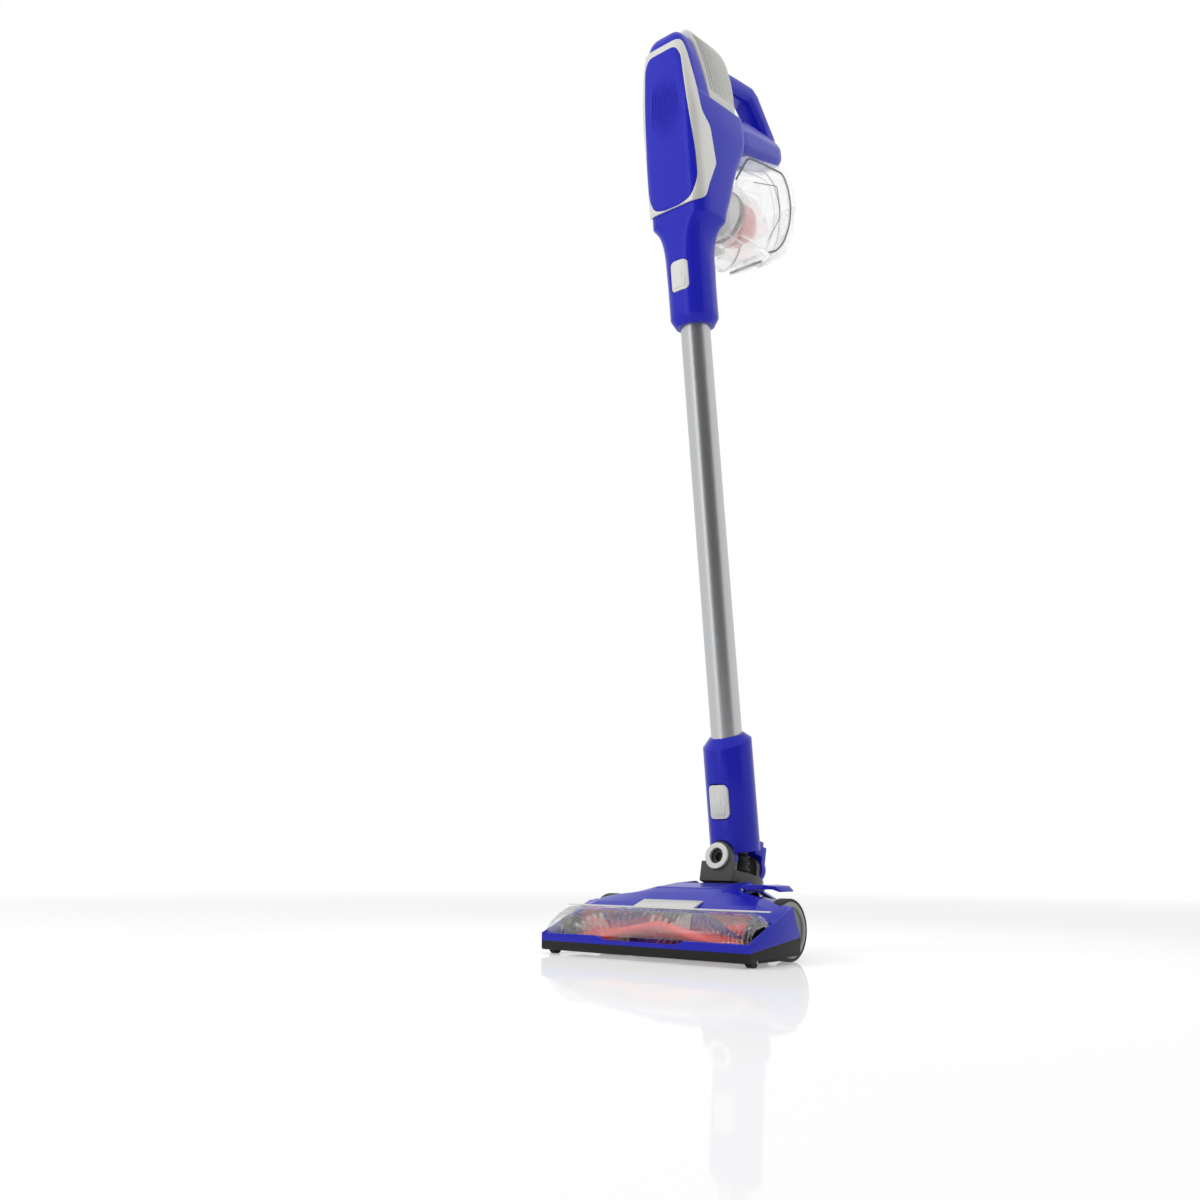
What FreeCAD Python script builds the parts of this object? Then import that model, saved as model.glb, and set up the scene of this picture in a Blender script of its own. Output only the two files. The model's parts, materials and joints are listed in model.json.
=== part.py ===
"""Cordless stick vacuum cleaner: floor tool, swivel neck, wand and hand unit.

Millimetres, +Z up, the front of the floor tool faces -Y.  The floor tool is drawn in the floor frame,
the swivel in a frame tilted about the pitch axis, and the wand in a frame whose Z runs along it.  The
hand unit has the wand's directions, with its zero at the top of the tube.  At the end every piece is
shifted so that the origin is the centre of the footprint.
"""
import FreeCAD
import Part
import Sketcher
import math
import os
import re
from FreeCAD import Placement, Rotation, Vector

# Driving sizes: alias, value, meaning.
SIZES = [
    ("base_width", 267.0, "floor tool, overall width"),
    ("base_depth", 93.0, "floor tool, depth of the side walls"),
    ("ground_gap", 4.5, "floor to the sole at the front"),
    ("rear_gap", 7.5, "floor to the sole behind the brush"),
    ("split_front", 13.8, "height of the base and cover joint at the front"),
    ("split_rear", 24.8, "height of the base and cover joint at the back of the side walls"),
    ("shell_wall", 2.5, "wall of the moulded shells"),
    ("lip_top", 22.0, "top of the front lip"),
    ("lip_depth", 6.0, "front to back size of the lip"),
    ("lip_dip", 4.0, "drop of the middle of the lip"),
    ("dip_half", 45.0, "half width of the dropped middle"),
    ("dip_ramp", 14.0, "length of the ramp at each end of the drop"),
    ("side_peak_back", 80.0, "front edge to the highest corner of the side wall"),
    ("side_peak_height", 54.6, "highest corner of the side wall"),
    ("chamber_inset", 14.5, "outside of a side wall to the brush chamber"),
    ("chamber_front", 7.0, "front edge to the brush chamber"),
    ("chamber_back", 57.0, "front edge to the back wall of the brush chamber"),
    ("window_radius", 28.0, "outer radius of the clear window"),
    ("window_wall", 2.0, "wall of the clear window"),
    ("window_top", 50.0, "top of the clear window"),
    ("window_back", 43.0, "back edge of the clear window"),
    ("band_centre_half", 39.0, "half width of the wide middle of the band"),
    ("band_centre_top", 57.2, "height of the back edge of the wide middle of the band"),
    ("brush_back", 32.0, "front edge to the brush axis"),
    ("brush_height", 25.0, "height of the brush axis"),
    ("bristle_radius", 22.5, "brush radius over the bristles"),
    ("core_radius", 15.0, "brush core radius"),
    ("shaft_radius", 3.0, "brush shaft radius"),
    ("brush_pulley_radius", 9.0, "pulley on the brush"),
    ("motor_pulley_radius", 5.0, "pulley on the brush motor"),
    ("belt_inset", 19.0, "end of the brush chamber to the middle of the belt"),
    ("belt_width", 6.0, "width of the belt and its pulleys"),
    ("belt_thickness", 1.4, "thickness of the belt"),
    ("brush_motor_back", 84.0, "front edge to the brush motor axis"),
    ("brush_motor_height", 40.0, "height of the brush motor axis"),
    ("brush_motor_radius", 15.0, "brush motor radius"),
    ("brush_motor_length", 54.0, "brush motor length"),
    ("wheel_radius", 31.0, "rear wheel radius"),
    ("wheel_width", 12.0, "rear wheel width"),
    ("wheel_inset", 25.5, "outside of a side wall to the inner face of a rear wheel"),
    ("wheel_back", 98.5, "front edge to the rear wheel axis"),
    ("boss_half", 6.0, "half width of the wheel axle boss"),
    ("tyre_thickness", 3.0, "tyre thickness"),
    ("wheel_axle_radius", 4.0, "rear wheel axle radius"),
    ("roller_radius", 5.5, "front roller radius"),
    ("roller_width", 8.0, "front roller width"),
    ("roller_inset", 7.5, "outside of a side wall to the middle of a front roller"),
    ("roller_back", 14.0, "front edge to the front roller axis"),
    ("roller_pin_radius", 1.5, "front roller pin radius"),
    ("pedal_height", 69.0, "height of the pedal pin"),
    ("pedal_length", 37.0, "front to back size of the pedal"),
    ("pedal_pin_radius", 1.5, "pedal pin radius"),
    ("duct_radius", 17.0, "outer radius of the suction duct"),
    ("duct_wall", 2.0, "wall of the suction duct"),
    ("duct_height", 28.0, "height of the suction duct axis"),
    ("duct_end", 122.0, "front edge to the end of the suction duct"),
    ("arm_inner", 27.5, "centre line to the inner face of a yoke arm"),
    ("arm_thickness", 11.5, "thickness of a yoke arm"),
    ("arm_end", 182.0, "front edge to the end of a yoke arm"),
    ("pivot_back", 180.0, "front edge to the middle of the swivel"),
    ("pivot_height", 95.5, "height of the middle of the swivel"),
    ("swivel_tilt", 13.0, "degrees that the swivel axis falls towards the back"),
    ("pitch_ahead", 10.6, "swivel middle to the pitch axis, forwards"),
    ("pitch_drop", 43.0, "swivel middle to the pitch axis, downwards"),
    ("pitch_pin_radius", 5.0, "pitch pin radius"),
    ("yoke_front", 37.0, "swivel middle to the front face of the yoke"),
    ("yoke_plate", 8.0, "thickness of the front plate of the yoke"),
    ("yoke_plate_half", 21.5, "half width of the front plate of the yoke"),
    ("yoke_cup_half", 30.0, "half width of the yoke cup"),
    ("yoke_floor", 27.0, "swivel axis to the floor of the yoke cup"),
    ("yoke_rim", 14.0, "swivel axis to the rim of the yoke cup"),
    ("yoke_rear", 22.0, "swivel middle to the rear post of the yoke"),
    ("yoke_post", 7.5, "thickness of the rear post of the yoke"),
    ("trunnion_outer", 26.0, "centre line to the outer face of a trunnion cheek"),
    ("trunnion_wall", 7.0, "thickness of a trunnion cheek"),
    ("trunnion_radius", 14.0, "radius of a trunnion cheek"),
    ("ear_radius", 16.0, "radius of the neck ears"),
    ("ear_thickness", 8.0, "thickness of the neck ears"),
    ("ring_radius", 14.8, "outer radius of the bright swivel ring"),
    ("ring_bore", 8.6, "inner radius of the bright swivel ring"),
    ("ring_depth", 4.0, "depth of the bright swivel ring"),
    ("front_pin_radius", 8.0, "front swivel pin radius"),
    ("rear_pin_radius", 6.0, "rear swivel pin radius"),
    ("hose_radius", 17.0, "outer radius of the flexible hose"),
    ("hose_wall", 2.5, "wall of the flexible hose"),
    ("hose_bend", 50.0, "radius of the hose bend"),
    ("wand_lean", 6.0, "degrees that the wand leans forwards"),
    ("wand_root", 104.0, "height of the zero of the wand frame"),
    ("neck_radius", 28.5, "neck collar radius"),
    ("neck_bottom", 6.0, "wand frame height of the underside of the neck"),
    ("neck_top", 138.0, "wand frame height of the top of the neck"),
    ("mouth_tilt", 12.0, "degrees that the neck mouth slopes to the front"),
    ("tube_radius", 18.1, "wand tube radius"),
    ("tube_wall", 1.2, "wall of the wand tube"),
    ("tube_bottom", 45.0, "wand frame height of the lower end of the tube"),
    ("tube_length", 667.0, "wand length between the seats of its two sockets"),
    ("socket_gap", 0.3, "clearance round the tube in its sockets"),
    ("sleeve_wall", 1.9, "wall of the contact sleeves in the tube ends"),
    ("button_width", 28.0, "width of a release button"),
    ("button_height", 40.0, "height of a release button"),
    ("button_travel", 2.0, "travel of a release button"),
    ("button_proud", 0.8, "height of a release button over its collar"),
    ("neck_button", 63.0, "wand frame height of the middle of the neck button"),
    ("hand_button", -19.5, "tube top to the middle of the hand unit button"),
    ("collar_radius", 27.7, "hand unit collar radius"),
    ("collar_bottom", -79.0, "tube top to the mouth of the hand unit collar"),
    ("body_half", 41.5, "greatest half width of the hand unit"),
    ("body_front", 27.0, "wand axis to the front of the hand unit body"),
    ("body_shoulder", 214.0, "tube top to the start of the exhaust cover"),
    ("body_top", 306.0, "tube top to the top of the body"),
    ("body_back", 94.0, "wand axis to the back of the body"),
    ("trim_skin", 3.5, "thickness of the silver trim"),
    ("panel_skin", 4.3, "thickness of the front panel"),
    ("cover_top", 324.0, "tube top to the top of the exhaust cover"),
    ("cover_half", 36.0, "half width of the exhaust cover"),
    ("handle_half", 15.0, "half width of the handle bars"),
    ("handle_top", 310.0, "tube top to the top of the handle"),
    ("handle_back", 222.0, "wand axis to the back of the handle"),
    ("handle_fall", 11.5, "fall of the top bar of the handle towards the front"),
    ("cup_half", 40.0, "half width of the dust cup"),
    ("cup_front", 36.0, "wand axis to the front of the dust cup"),
    ("cup_back", 236.0, "wand axis to the back of the dust cup"),
    ("cup_floor", 43.0, "tube top to the dust cup floor"),
    ("cup_wall", 2.2, "wall of the dust cup"),
    ("door_thickness", 2.5, "thickness of the dust cup door"),
    ("hinge_back", 124.0, "wand axis to the dust cup door hinge"),
    ("hinge_pin_radius", 1.6, "dust cup door pin radius"),
    ("knuckle_radius", 4.0, "dust cup door knuckle radius"),
    ("separator_height", 91.0, "tube top to the separator axis"),
    ("separator_ring", 34.0, "radius of the separator ring"),
    ("filter_radius", 29.0, "radius of the inner filter cup"),
    ("filter_length", 38.0, "straight length of the inner filter cup"),
    ("fan_radius", 24.0, "suction fan radius"),
    ("motor_radius", 25.0, "suction motor radius"),
    ("motor_wall", 1.5, "wall of the suction motor can"),
    ("motor_back", 49.0, "wand axis to the suction motor axis"),
    ("jack_bore", 2.75, "radius of the charging socket"),
    ("jack_depth", 9.0, "depth of the charging socket"),
    ("jack_radius", 5.5, "outer radius of the charging socket barrel"),
    ("running_gap", 0.05, "radial clearance of a shaft in its bore"),
    ("part_gap", 0.3, "clearance between pieces that move past each other"),
]

# Sizes that follow from the driving ones.
DERIVED = [
    ("chamber_half", "=base_width/2-chamber_inset", "half width of the brush chamber"),
    ("belt_plane", "=chamber_half-belt_inset", "centre line to the middle of the belt"),
    ("wheel_inner", "=base_width/2-wheel_inset", "centre line to the inner face of a rear wheel"),
    ("roller_centre", "=base_width/2-roller_inset", "centre line to the middle of a front roller"),
    ("pedal_root", "=wheel_inner-48", "centre line to the pedal pin"),
    ("air_radius", "=tube_radius-tube_wall-sleeve_wall", "radius of the air passage"),
]

doc = FreeCAD.newDocument("StickVacuum")
sheet = doc.addObject("Spreadsheet::Sheet", "Dims")
for row, (alias, size, meaning) in enumerate(SIZES + DERIVED, start=1):
    sheet.set("A%d" % row, meaning)
    sheet.set("B%d" % row, str(size))
    sheet.setAlias("B%d" % row, alias)
doc.recompute()
ALIASES = re.compile(r"\b(%s)\b" % "|".join(alias for alias, _, _ in SIZES + DERIVED))
SUB_PARTS = {}
FLOOR = Placement()


# ---------------------------------------------------------------------------------------------------
# Helpers: every size is an expression in the sheet's aliases.
# ---------------------------------------------------------------------------------------------------
def value(expression):
    """Number that an expression in the sheet's aliases gives now."""
    return float(sheet.evalExpression(str(expression)))


def bind(item, attribute, expression):
    """Tie a property to the sheet."""
    item.setExpression(attribute, ALIASES.sub(r"Dims.\1", str(expression)))


def point(place):
    return Vector(*[value(number) for number in place])


AXIS_TURN = {
    "X": Rotation(Vector(0, 1, 0), 90),
    "Y": Rotation(Vector(1, 0, 0), -90),
    "Z": Rotation(),
}
PLANE_TURN = {
    "YZ": Rotation(Vector(1, 1, 1), 120),
    "XZ": Rotation(Vector(1, 0, 0), 90),
    "XY": Rotation(),
}


def rod(name, axis, start, radius, length, frame=FLOOR):
    """Solid cylinder along an axis of the frame, from its start point."""
    item = doc.addObject("Part::Cylinder", name)
    bind(item, "Radius", radius)
    bind(item, "Height", length)
    item.Placement = frame * Placement(point(start), AXIS_TURN[axis])
    return item


def cone(name, axis, start, radius_one, radius_two, length, frame=FLOOR):
    """Cone along an axis of the frame, from its start point."""
    item = doc.addObject("Part::Cone", name)
    bind(item, "Radius1", radius_one)
    bind(item, "Radius2", radius_two)
    bind(item, "Height", length)
    item.Placement = frame * Placement(point(start), AXIS_TURN[axis])
    return item


def block(name, low, high, frame=FLOOR):
    """Box between two corners."""
    item = doc.addObject("Part::Box", name)
    for side, near, far in zip(("Length", "Width", "Height"), low, high):
        bind(item, side, "(%s)-(%s)" % (far, near))
    item.Placement = frame * Placement(point(low), Rotation())
    return item


def outline(name, plane, depth, corners, frame=FLOOR):
    """Closed sketch of straight sides; each corner is a pair of expressions."""
    sketch = doc.addObject("Sketcher::SketchObject", name)
    normal = PLANE_TURN[plane].multVec(Vector(0, 0, 1))
    toward = 1 if plane != "XZ" else -1
    sketch.Placement = frame * Placement(normal * (value(depth) * toward), PLANE_TURN[plane])
    spots = [Vector(value(across), value(up), 0) for across, up in corners]
    for number, spot in enumerate(spots):
        sketch.addGeometry(Part.LineSegment(spot, spots[(number + 1) % len(spots)]), False)
    for number in range(len(spots)):
        after = (number + 1) % len(spots)
        sketch.addConstraint(Sketcher.Constraint("Coincident", number, 2, after, 1))
    for number, (across, up) in enumerate(corners):
        for kind, expression in (("DistanceX", across), ("DistanceY", up)):
            size = value(expression)
            index = sketch.addConstraint(Sketcher.Constraint(kind, -1, 1, number, 1, size))
            bind(sketch, "Constraints[%d]" % index, expression)
    return sketch


def slab(name, plane, start, length, corners, frame=FLOOR):
    """Prism: an outline pushed along +X (YZ), +Y (XZ) or +Z (XY) from start."""
    sketch = outline(name + "_outline", plane, start, corners, frame)
    item = doc.addObject("Part::Extrusion", name)
    item.Base = sketch
    item.DirMode = "Normal"
    item.Solid = True
    item.Reversed = plane == "XZ"
    bind(item, "LengthFwd", length)
    return item


def skin(name, sections, frame=FLOOR):
    """Solid through parallel outlines: (plane, depth, corners) each, all with as many corners."""
    item = doc.addObject("Part::Loft", name)
    item.Sections = [
        outline("%s_section_%d" % (name, number), plane, depth, corners, frame)
        for number, (plane, depth, corners) in enumerate(sections)
    ]
    item.Solid = True
    item.Ruled = True
    return item


def fuse(name, *items):
    item = doc.addObject("Part::MultiFuse", name)
    item.Shapes = list(items)
    return item


def cut(name, base, *tools):
    item = doc.addObject("Part::Cut", name)
    item.Base = base
    item.Tool = tools[0] if len(tools) == 1 else fuse(name + "_tools", *tools)
    return item


def common(name, *items):
    item = doc.addObject("Part::MultiCommon", name)
    item.Shapes = list(items)
    return item


def sub_part(label, item, frame=FLOOR):
    """Register a finished piece; frame is where its own coordinates lie."""
    if item.TypeId in ("Part::Cylinder", "Part::Box", "Part::Cone"):
        whole = doc.addObject("Part::Refine", label + "_piece")
        whole.Source = item
        item = whole
    item.Label = label
    item.Placement = frame
    SUB_PARTS[label] = item
    return item


def mirrored(corners):
    """Outline from its right half, listed from the bottom middle round to the top middle."""
    left = [("-(%s)" % across, up) for across, up in reversed(corners)]
    return corners + left


SIDES = (("left", -1), ("right", 1))


def span_x(side, inner, outer):
    """Low and high X of a slab between two distances from the centre line, on one side."""
    if side > 0:
        return inner, outer
    return "-(%s)" % outer, "-(%s)" % inner


# ---------------------------------------------------------------------------------------------------
# Floor tool
# ---------------------------------------------------------------------------------------------------
BASE_HALF = "base_width/2"
SIDE_INNER = "(base_width/2-shell_wall)"
ARM_OUTER = "(arm_inner+arm_thickness)"
PEDAL_FRONT = "(pivot_back-77)"
WELL_INNER = "(wheel_inner-2)"
WELL_OUTER = "(wheel_inner+wheel_width+2)"


def split_height(back):
    """Height of the joint between base and cover, at a distance from the front edge."""
    return "(split_front+(split_rear-split_front)*(%s)/base_depth)" % back


def in_swivel_frame(back, up):
    """Floor frame place of a point of the swivel frame, as (back, up) expressions."""
    turn = math.radians(value("swivel_tilt"))
    across = "(pivot_back+(%s)*%.9f+(%s)*%.9f)" % (back, math.cos(turn), up, math.sin(turn))
    height = "(pivot_height-(%s)*%.9f+(%s)*%.9f)" % (back, math.sin(turn), up, math.cos(turn))
    return across, height


PITCH_BACK, PITCH_HEIGHT = in_swivel_frame("-pitch_ahead", "-pitch_drop")


def make_base():
    """Black sole: front bar, side bars, rear tray, yoke arms with pitch bearings and glides."""
    sole = slab("base_slab", "YZ", "-(%s)" % BASE_HALF, "base_width", [
        ("1.5", "ground_gap"), ("chamber_back+8", "ground_gap"), ("chamber_back+10", "rear_gap"),
        ("base_depth-2", "rear_gap"), ("base_depth", "split_rear"), ("0", "split_front"),
        ("0", "ground_gap+2"),
    ])
    chamber = block("base_chamber", ("-chamber_half", "chamber_front", "0"),
                    ("chamber_half", "chamber_back+3", "split_rear+20"))
    tray = block("base_tray", ("-wheel_inner+6", "chamber_back+7", "rear_gap+3"),
                 ("wheel_inner-6", "base_depth-3", "split_rear+20"))
    channel = rod("duct_channel", "Y", ("0", "chamber_back", "duct_height"), "duct_radius",
                  "base_depth-chamber_back+1")
    tools = [chamber, tray, channel]
    posts = []
    for side, sign in SIDES:
        low, high = span_x(sign, WELL_INNER, WELL_OUTER)
        tools.append(block("wheel_well_" + side, (low, "wheel_back-wheel_radius-3", "0"),
                           (high, "base_depth+1", "split_rear+20")))
        low, high = span_x(sign, "roller_centre-roller_width/2-0.8", "roller_centre+roller_width/2+0.8")
        tools.append(block("roller_pocket_" + side, (low, "roller_back-roller_radius-1", "0"),
                           (high, "roller_back+roller_radius+1", "2*roller_radius+1")))
        pin_start = "roller_centre-roller_width/2-4" if sign > 0 else "-roller_centre-roller_width/2-4"
        tools.append(rod("roller_pin_hole_" + side, "X", (pin_start, "roller_back", "roller_radius"),
                         "roller_pin_radius", "roller_width+8"))
        low, high = span_x(sign, "chamber_half", "chamber_half+4")
        post = block("bearing_post_" + side, (low, "brush_back-12", "split_front"),
                     (high, "brush_back+12", "brush_height+12"))
        bore = rod("bearing_post_bore_" + side, "X", (low, "brush_back", "brush_height"),
                   "shaft_radius+1", "4")
        posts.append(cut("bearing_post_drilled_" + side, post, bore))
        low, high = span_x(sign, "wheel_inner-7", WELL_INNER)
        boss = block("axle_boss_" + side, (low, "wheel_back-boss_half", "rear_gap"),
                     (high, "wheel_back+boss_half", "wheel_radius+boss_half+1"))
        boss_bore = rod("axle_boss_bore_" + side, "X", (low, "wheel_back", "wheel_radius"),
                        "wheel_axle_radius", "10")
        posts.append(cut("axle_boss_drilled_" + side, boss, boss_bore))
        low, high = span_x(sign, "arm_inner", ARM_OUTER)
        arm = slab("yoke_arm_" + side, "YZ", low, "arm_thickness", [
            ("base_depth-6", "rear_gap"), ("arm_end-16", "rear_gap"), ("arm_end-15", "0"),
            ("arm_end-1", "0"), ("arm_end", "2"), ("arm_end", "rear_gap+4"),
            (PITCH_BACK + "+9", "rear_gap+9"), (PITCH_BACK + "+9", PITCH_HEIGHT),
            (PITCH_BACK + "-11", PITCH_HEIGHT), (PITCH_BACK + "-20", "rear_gap+16"),
            ("base_depth-6", "split_rear"),
        ])
        head = rod("yoke_arm_head_" + side, "X", (low, PITCH_BACK + "-1", PITCH_HEIGHT),
                   "pitch_pin_radius+5", "arm_thickness")
        bearing = rod("pitch_bearing_" + side, "X", (low, PITCH_BACK, PITCH_HEIGHT),
                      "pitch_pin_radius+running_gap", "arm_thickness")
        posts.append(cut("yoke_arm_drilled_" + side, fuse("yoke_arm_whole_" + side, arm, head), bearing))
    floor = block("tail_floor", ("-wheel_inner+7", "base_depth-6", "rear_gap"),
                  ("wheel_inner-7", "duct_end+4", "rear_gap+3"))
    tray_cut = cut("base_hollow", sole, *tools)
    sub_part("nozzle_base", fuse("base_whole", tray_cut, floor, *posts))


def make_cover():
    """Blue upper shell: lip, side walls and the hump that rises to the swivel opening."""
    def section(back, half, side_top, shoulder, middle, bottom, inset):
        """Crown outline at one depth, made smaller by inset for the inside."""
        wall = "-%s" % inset if inset else ""
        bottom = "%s%s" % (bottom, "-3" if inset else "")
        right = [
            ("%s%s" % (half, wall), bottom), ("%s%s" % (half, wall), "%s%s" % (side_top, wall)),
            ("%s%s" % (shoulder[0], wall), "%s%s" % (shoulder[1], wall)),
            ("%s" % middle[0], "%s%s" % (middle[1], wall)),
        ]
        return "XZ", back, mirrored(right)

    def shell(name, rows, inset):
        return skin(name, [section(*row, inset) for row in rows])

    front_rows = [
        ("window_back+0.5", SIDE_INNER + "+1", "39.5", ("base_width/2-21.5", "47.5"),
         ("40", "window_top-1.5"), split_height("window_back")),
        ("window_back+17", SIDE_INNER + "+1", "46.6", ("base_width/2-30.5", "56"), ("40", "57"),
         split_height("window_back+17")),
        ("side_peak_back", SIDE_INNER + "+1", "side_peak_height", ("base_width/2-37.5", "61.5"), ("44", "67"),
         split_height("side_peak_back")),
        ("base_depth", SIDE_INNER + "+1", "split_rear+4", ("base_width/2-35.5", "59.5"), ("44", "71.5"),
         "split_rear"),
    ]
    rear_rows = [
        ("base_depth-4", "wheel_inner-7", "54", ("wheel_inner-18", "60.5"), ("44", "70.5"), "split_rear"),
        ("duct_end", "wheel_inner-7", "48", ("wheel_inner-28", "60"), ("40", "75"), "split_rear"),
        ("pivot_back-30", "wheel_inner-12", "44", ("wheel_inner-34", "58"), ("38", "76.5"), "split_rear"),
        ("arm_end", "wheel_inner-24", "33", ("wheel_inner-42", "46"), ("40", "62"), "split_rear"),
    ]
    outer = fuse("cover_outer", shell("cover_front_outer", front_rows, ""),
                 shell("cover_rear_outer", rear_rows, ""))
    inner_front = [(front_rows[0][0] + "-1",) + front_rows[0][1:]] + front_rows[1:3] + [
        ("base_depth-shell_wall",) + front_rows[3][1:]]
    inner_rear = [("base_depth-8",) + rear_rows[0][1:]] + rear_rows[1:3] + [
        ("arm_end-shell_wall",) + rear_rows[3][1:]]
    inner = fuse("cover_inner", shell("cover_front_inner", inner_front, "shell_wall"),
                 shell("cover_rear_inner", inner_rear, "shell_wall"))
    opening = block("swivel_opening", ("-yoke_cup_half-4", "duct_end", "0"),
                    ("yoke_cup_half+4", "arm_end+5", "200"))
    root_slot = block("pedal_slot", ("pedal_root-5", PEDAL_FRONT + "-0.5", "pedal_height-10"),
                      ("pedal_root+16", PEDAL_FRONT + "+pedal_length+0.5", "pedal_height+25"))
    pin_hole = rod("pedal_pin_hole", "Y", ("pedal_root", PEDAL_FRONT + "-3", "pedal_height"),
                   "pedal_pin_radius", "pedal_length+6")
    tools = [inner, opening, root_slot, pin_hole]
    walls = []
    for side, sign in SIDES:
        low, high = span_x(sign, WELL_INNER + "-0.5", WELL_OUTER)
        tools.append(rod("wheel_arch_" + side, "X", (low, "wheel_back", "wheel_radius"), "wheel_radius+2.5",
                         "wheel_width+4.5"))
        low, high = span_x(sign, "wheel_inner-7-part_gap", WELL_OUTER)
        tools.append(block("boss_room_" + side, (low, "wheel_back-boss_half-part_gap", "0"),
                           (high, "wheel_back+boss_half+part_gap", "wheel_radius+boss_half+1+part_gap")))
        low, high = span_x(sign, SIDE_INNER, BASE_HALF)
        walls.append(slab("cover_side_" + side, "YZ", low, "shell_wall", [
            ("0", "split_front"), ("base_depth", "split_rear"), ("side_peak_back", "side_peak_height"),
            ("0", "lip_top"),
        ]))
    crown = cut("cover_hump", outer, *tools)
    bar = slab("cover_lip_bar", "YZ", "-" + BASE_HALF, "base_width", [
        ("0", "split_front"), ("lip_depth", split_height("lip_depth")), ("lip_depth", "lip_top"),
        ("0.8", "lip_top"), ("0", "lip_top-1"),
    ])
    dip = slab("cover_lip_dip", "XZ", "-1", "lip_depth+2", mirrored([
        ("dip_half", "lip_top-lip_dip"), ("dip_half+dip_ramp", "lip_top+0.5"),
    ]))
    lip = cut("cover_lip", bar, dip)
    sub_part("nozzle_cover", fuse("cover_whole", crown, lip, *walls))


def make_window():
    """Clear quarter round window with closed ends."""
    half = SIDE_INNER + "-part_gap"
    width = "2*(%s)" % half
    centre_back = "(window_radius+2)"
    centre_height = "(window_top-window_radius)"
    start = ("-(%s)" % half, centre_back, centre_height)
    drum = rod("window_drum", "X", start, "window_radius", width)
    hollow = rod("window_hollow", "X", ("-(%s)+window_wall" % half, centre_back, centre_height),
                 "window_radius-window_wall", width + "-2*window_wall")
    front = block("window_front", ("-(%s)" % half, "0", "lip_top+0.2"), (half, centre_back, "window_top"))
    quarter = common("window_quarter", cut("window_shell", drum, hollow), front)
    flat = block("window_flat", ("-(%s)" % half, centre_back, "window_top-window_wall"),
                 (half, "window_back", "window_top"))
    tab = slab("window_tab", "XZ", "2.4", "window_wall", mirrored([
        ("dip_half-0.5", "lip_top-lip_dip+0.3"), ("dip_half+dip_ramp-3", "lip_top+0.3"),
    ]))
    sub_part("brush_window", fuse("window_whole", quarter, flat, tab))


def make_chamber():
    """Dark back wall of the brush chamber, with the suction port and the belt slot."""
    wall = block("chamber_wall", ("-chamber_half", "chamber_back", "split_rear-2.8"),
                 ("chamber_half", "chamber_back+2.4", "window_top-6"))
    low_wall = block("chamber_low_wall", ("-chamber_half", "chamber_back", "ground_gap"),
                     ("chamber_half", "chamber_back+2.4", "split_rear"))
    port = rod("chamber_port", "Y", ("0", "chamber_back-1", "duct_height"), "duct_radius-duct_wall", "5")
    slot = block("belt_slot", ("-belt_plane-belt_width/2-1", "chamber_back-1", "brush_height-14"),
                 ("-belt_plane+belt_width/2+1", "chamber_back+4", "brush_motor_height+9"))
    sub_part("brush_chamber", cut("chamber_open", fuse("chamber_whole", wall, low_wall), port, slot))


def make_band():
    """Silver band over the back edge of the window, wide in the middle."""
    strip = slab("band_strip", "YZ", "-(%s-part_gap)" % SIDE_INNER, "2*(%s-part_gap)" % SIDE_INNER, [
        ("window_back-3", "window_top+0.1"), ("window_back+1", "window_top+0.1"),
        ("window_back+1", "window_top+1.4"), ("window_back-2", "window_top+1.4"),
    ])
    wide = slab("band_centre", "YZ", "-band_centre_half", "2*band_centre_half", [
        ("window_back-3", "window_top+0.1"), ("window_back+1", "window_top+0.1"),
        ("window_back+17", "band_centre_top"), ("window_back+17", "band_centre_top+1.2"),
        ("window_back-2", "window_top+1.8"),
    ])
    sub_part("window_band", fuse("band_whole", strip, wide))


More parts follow.
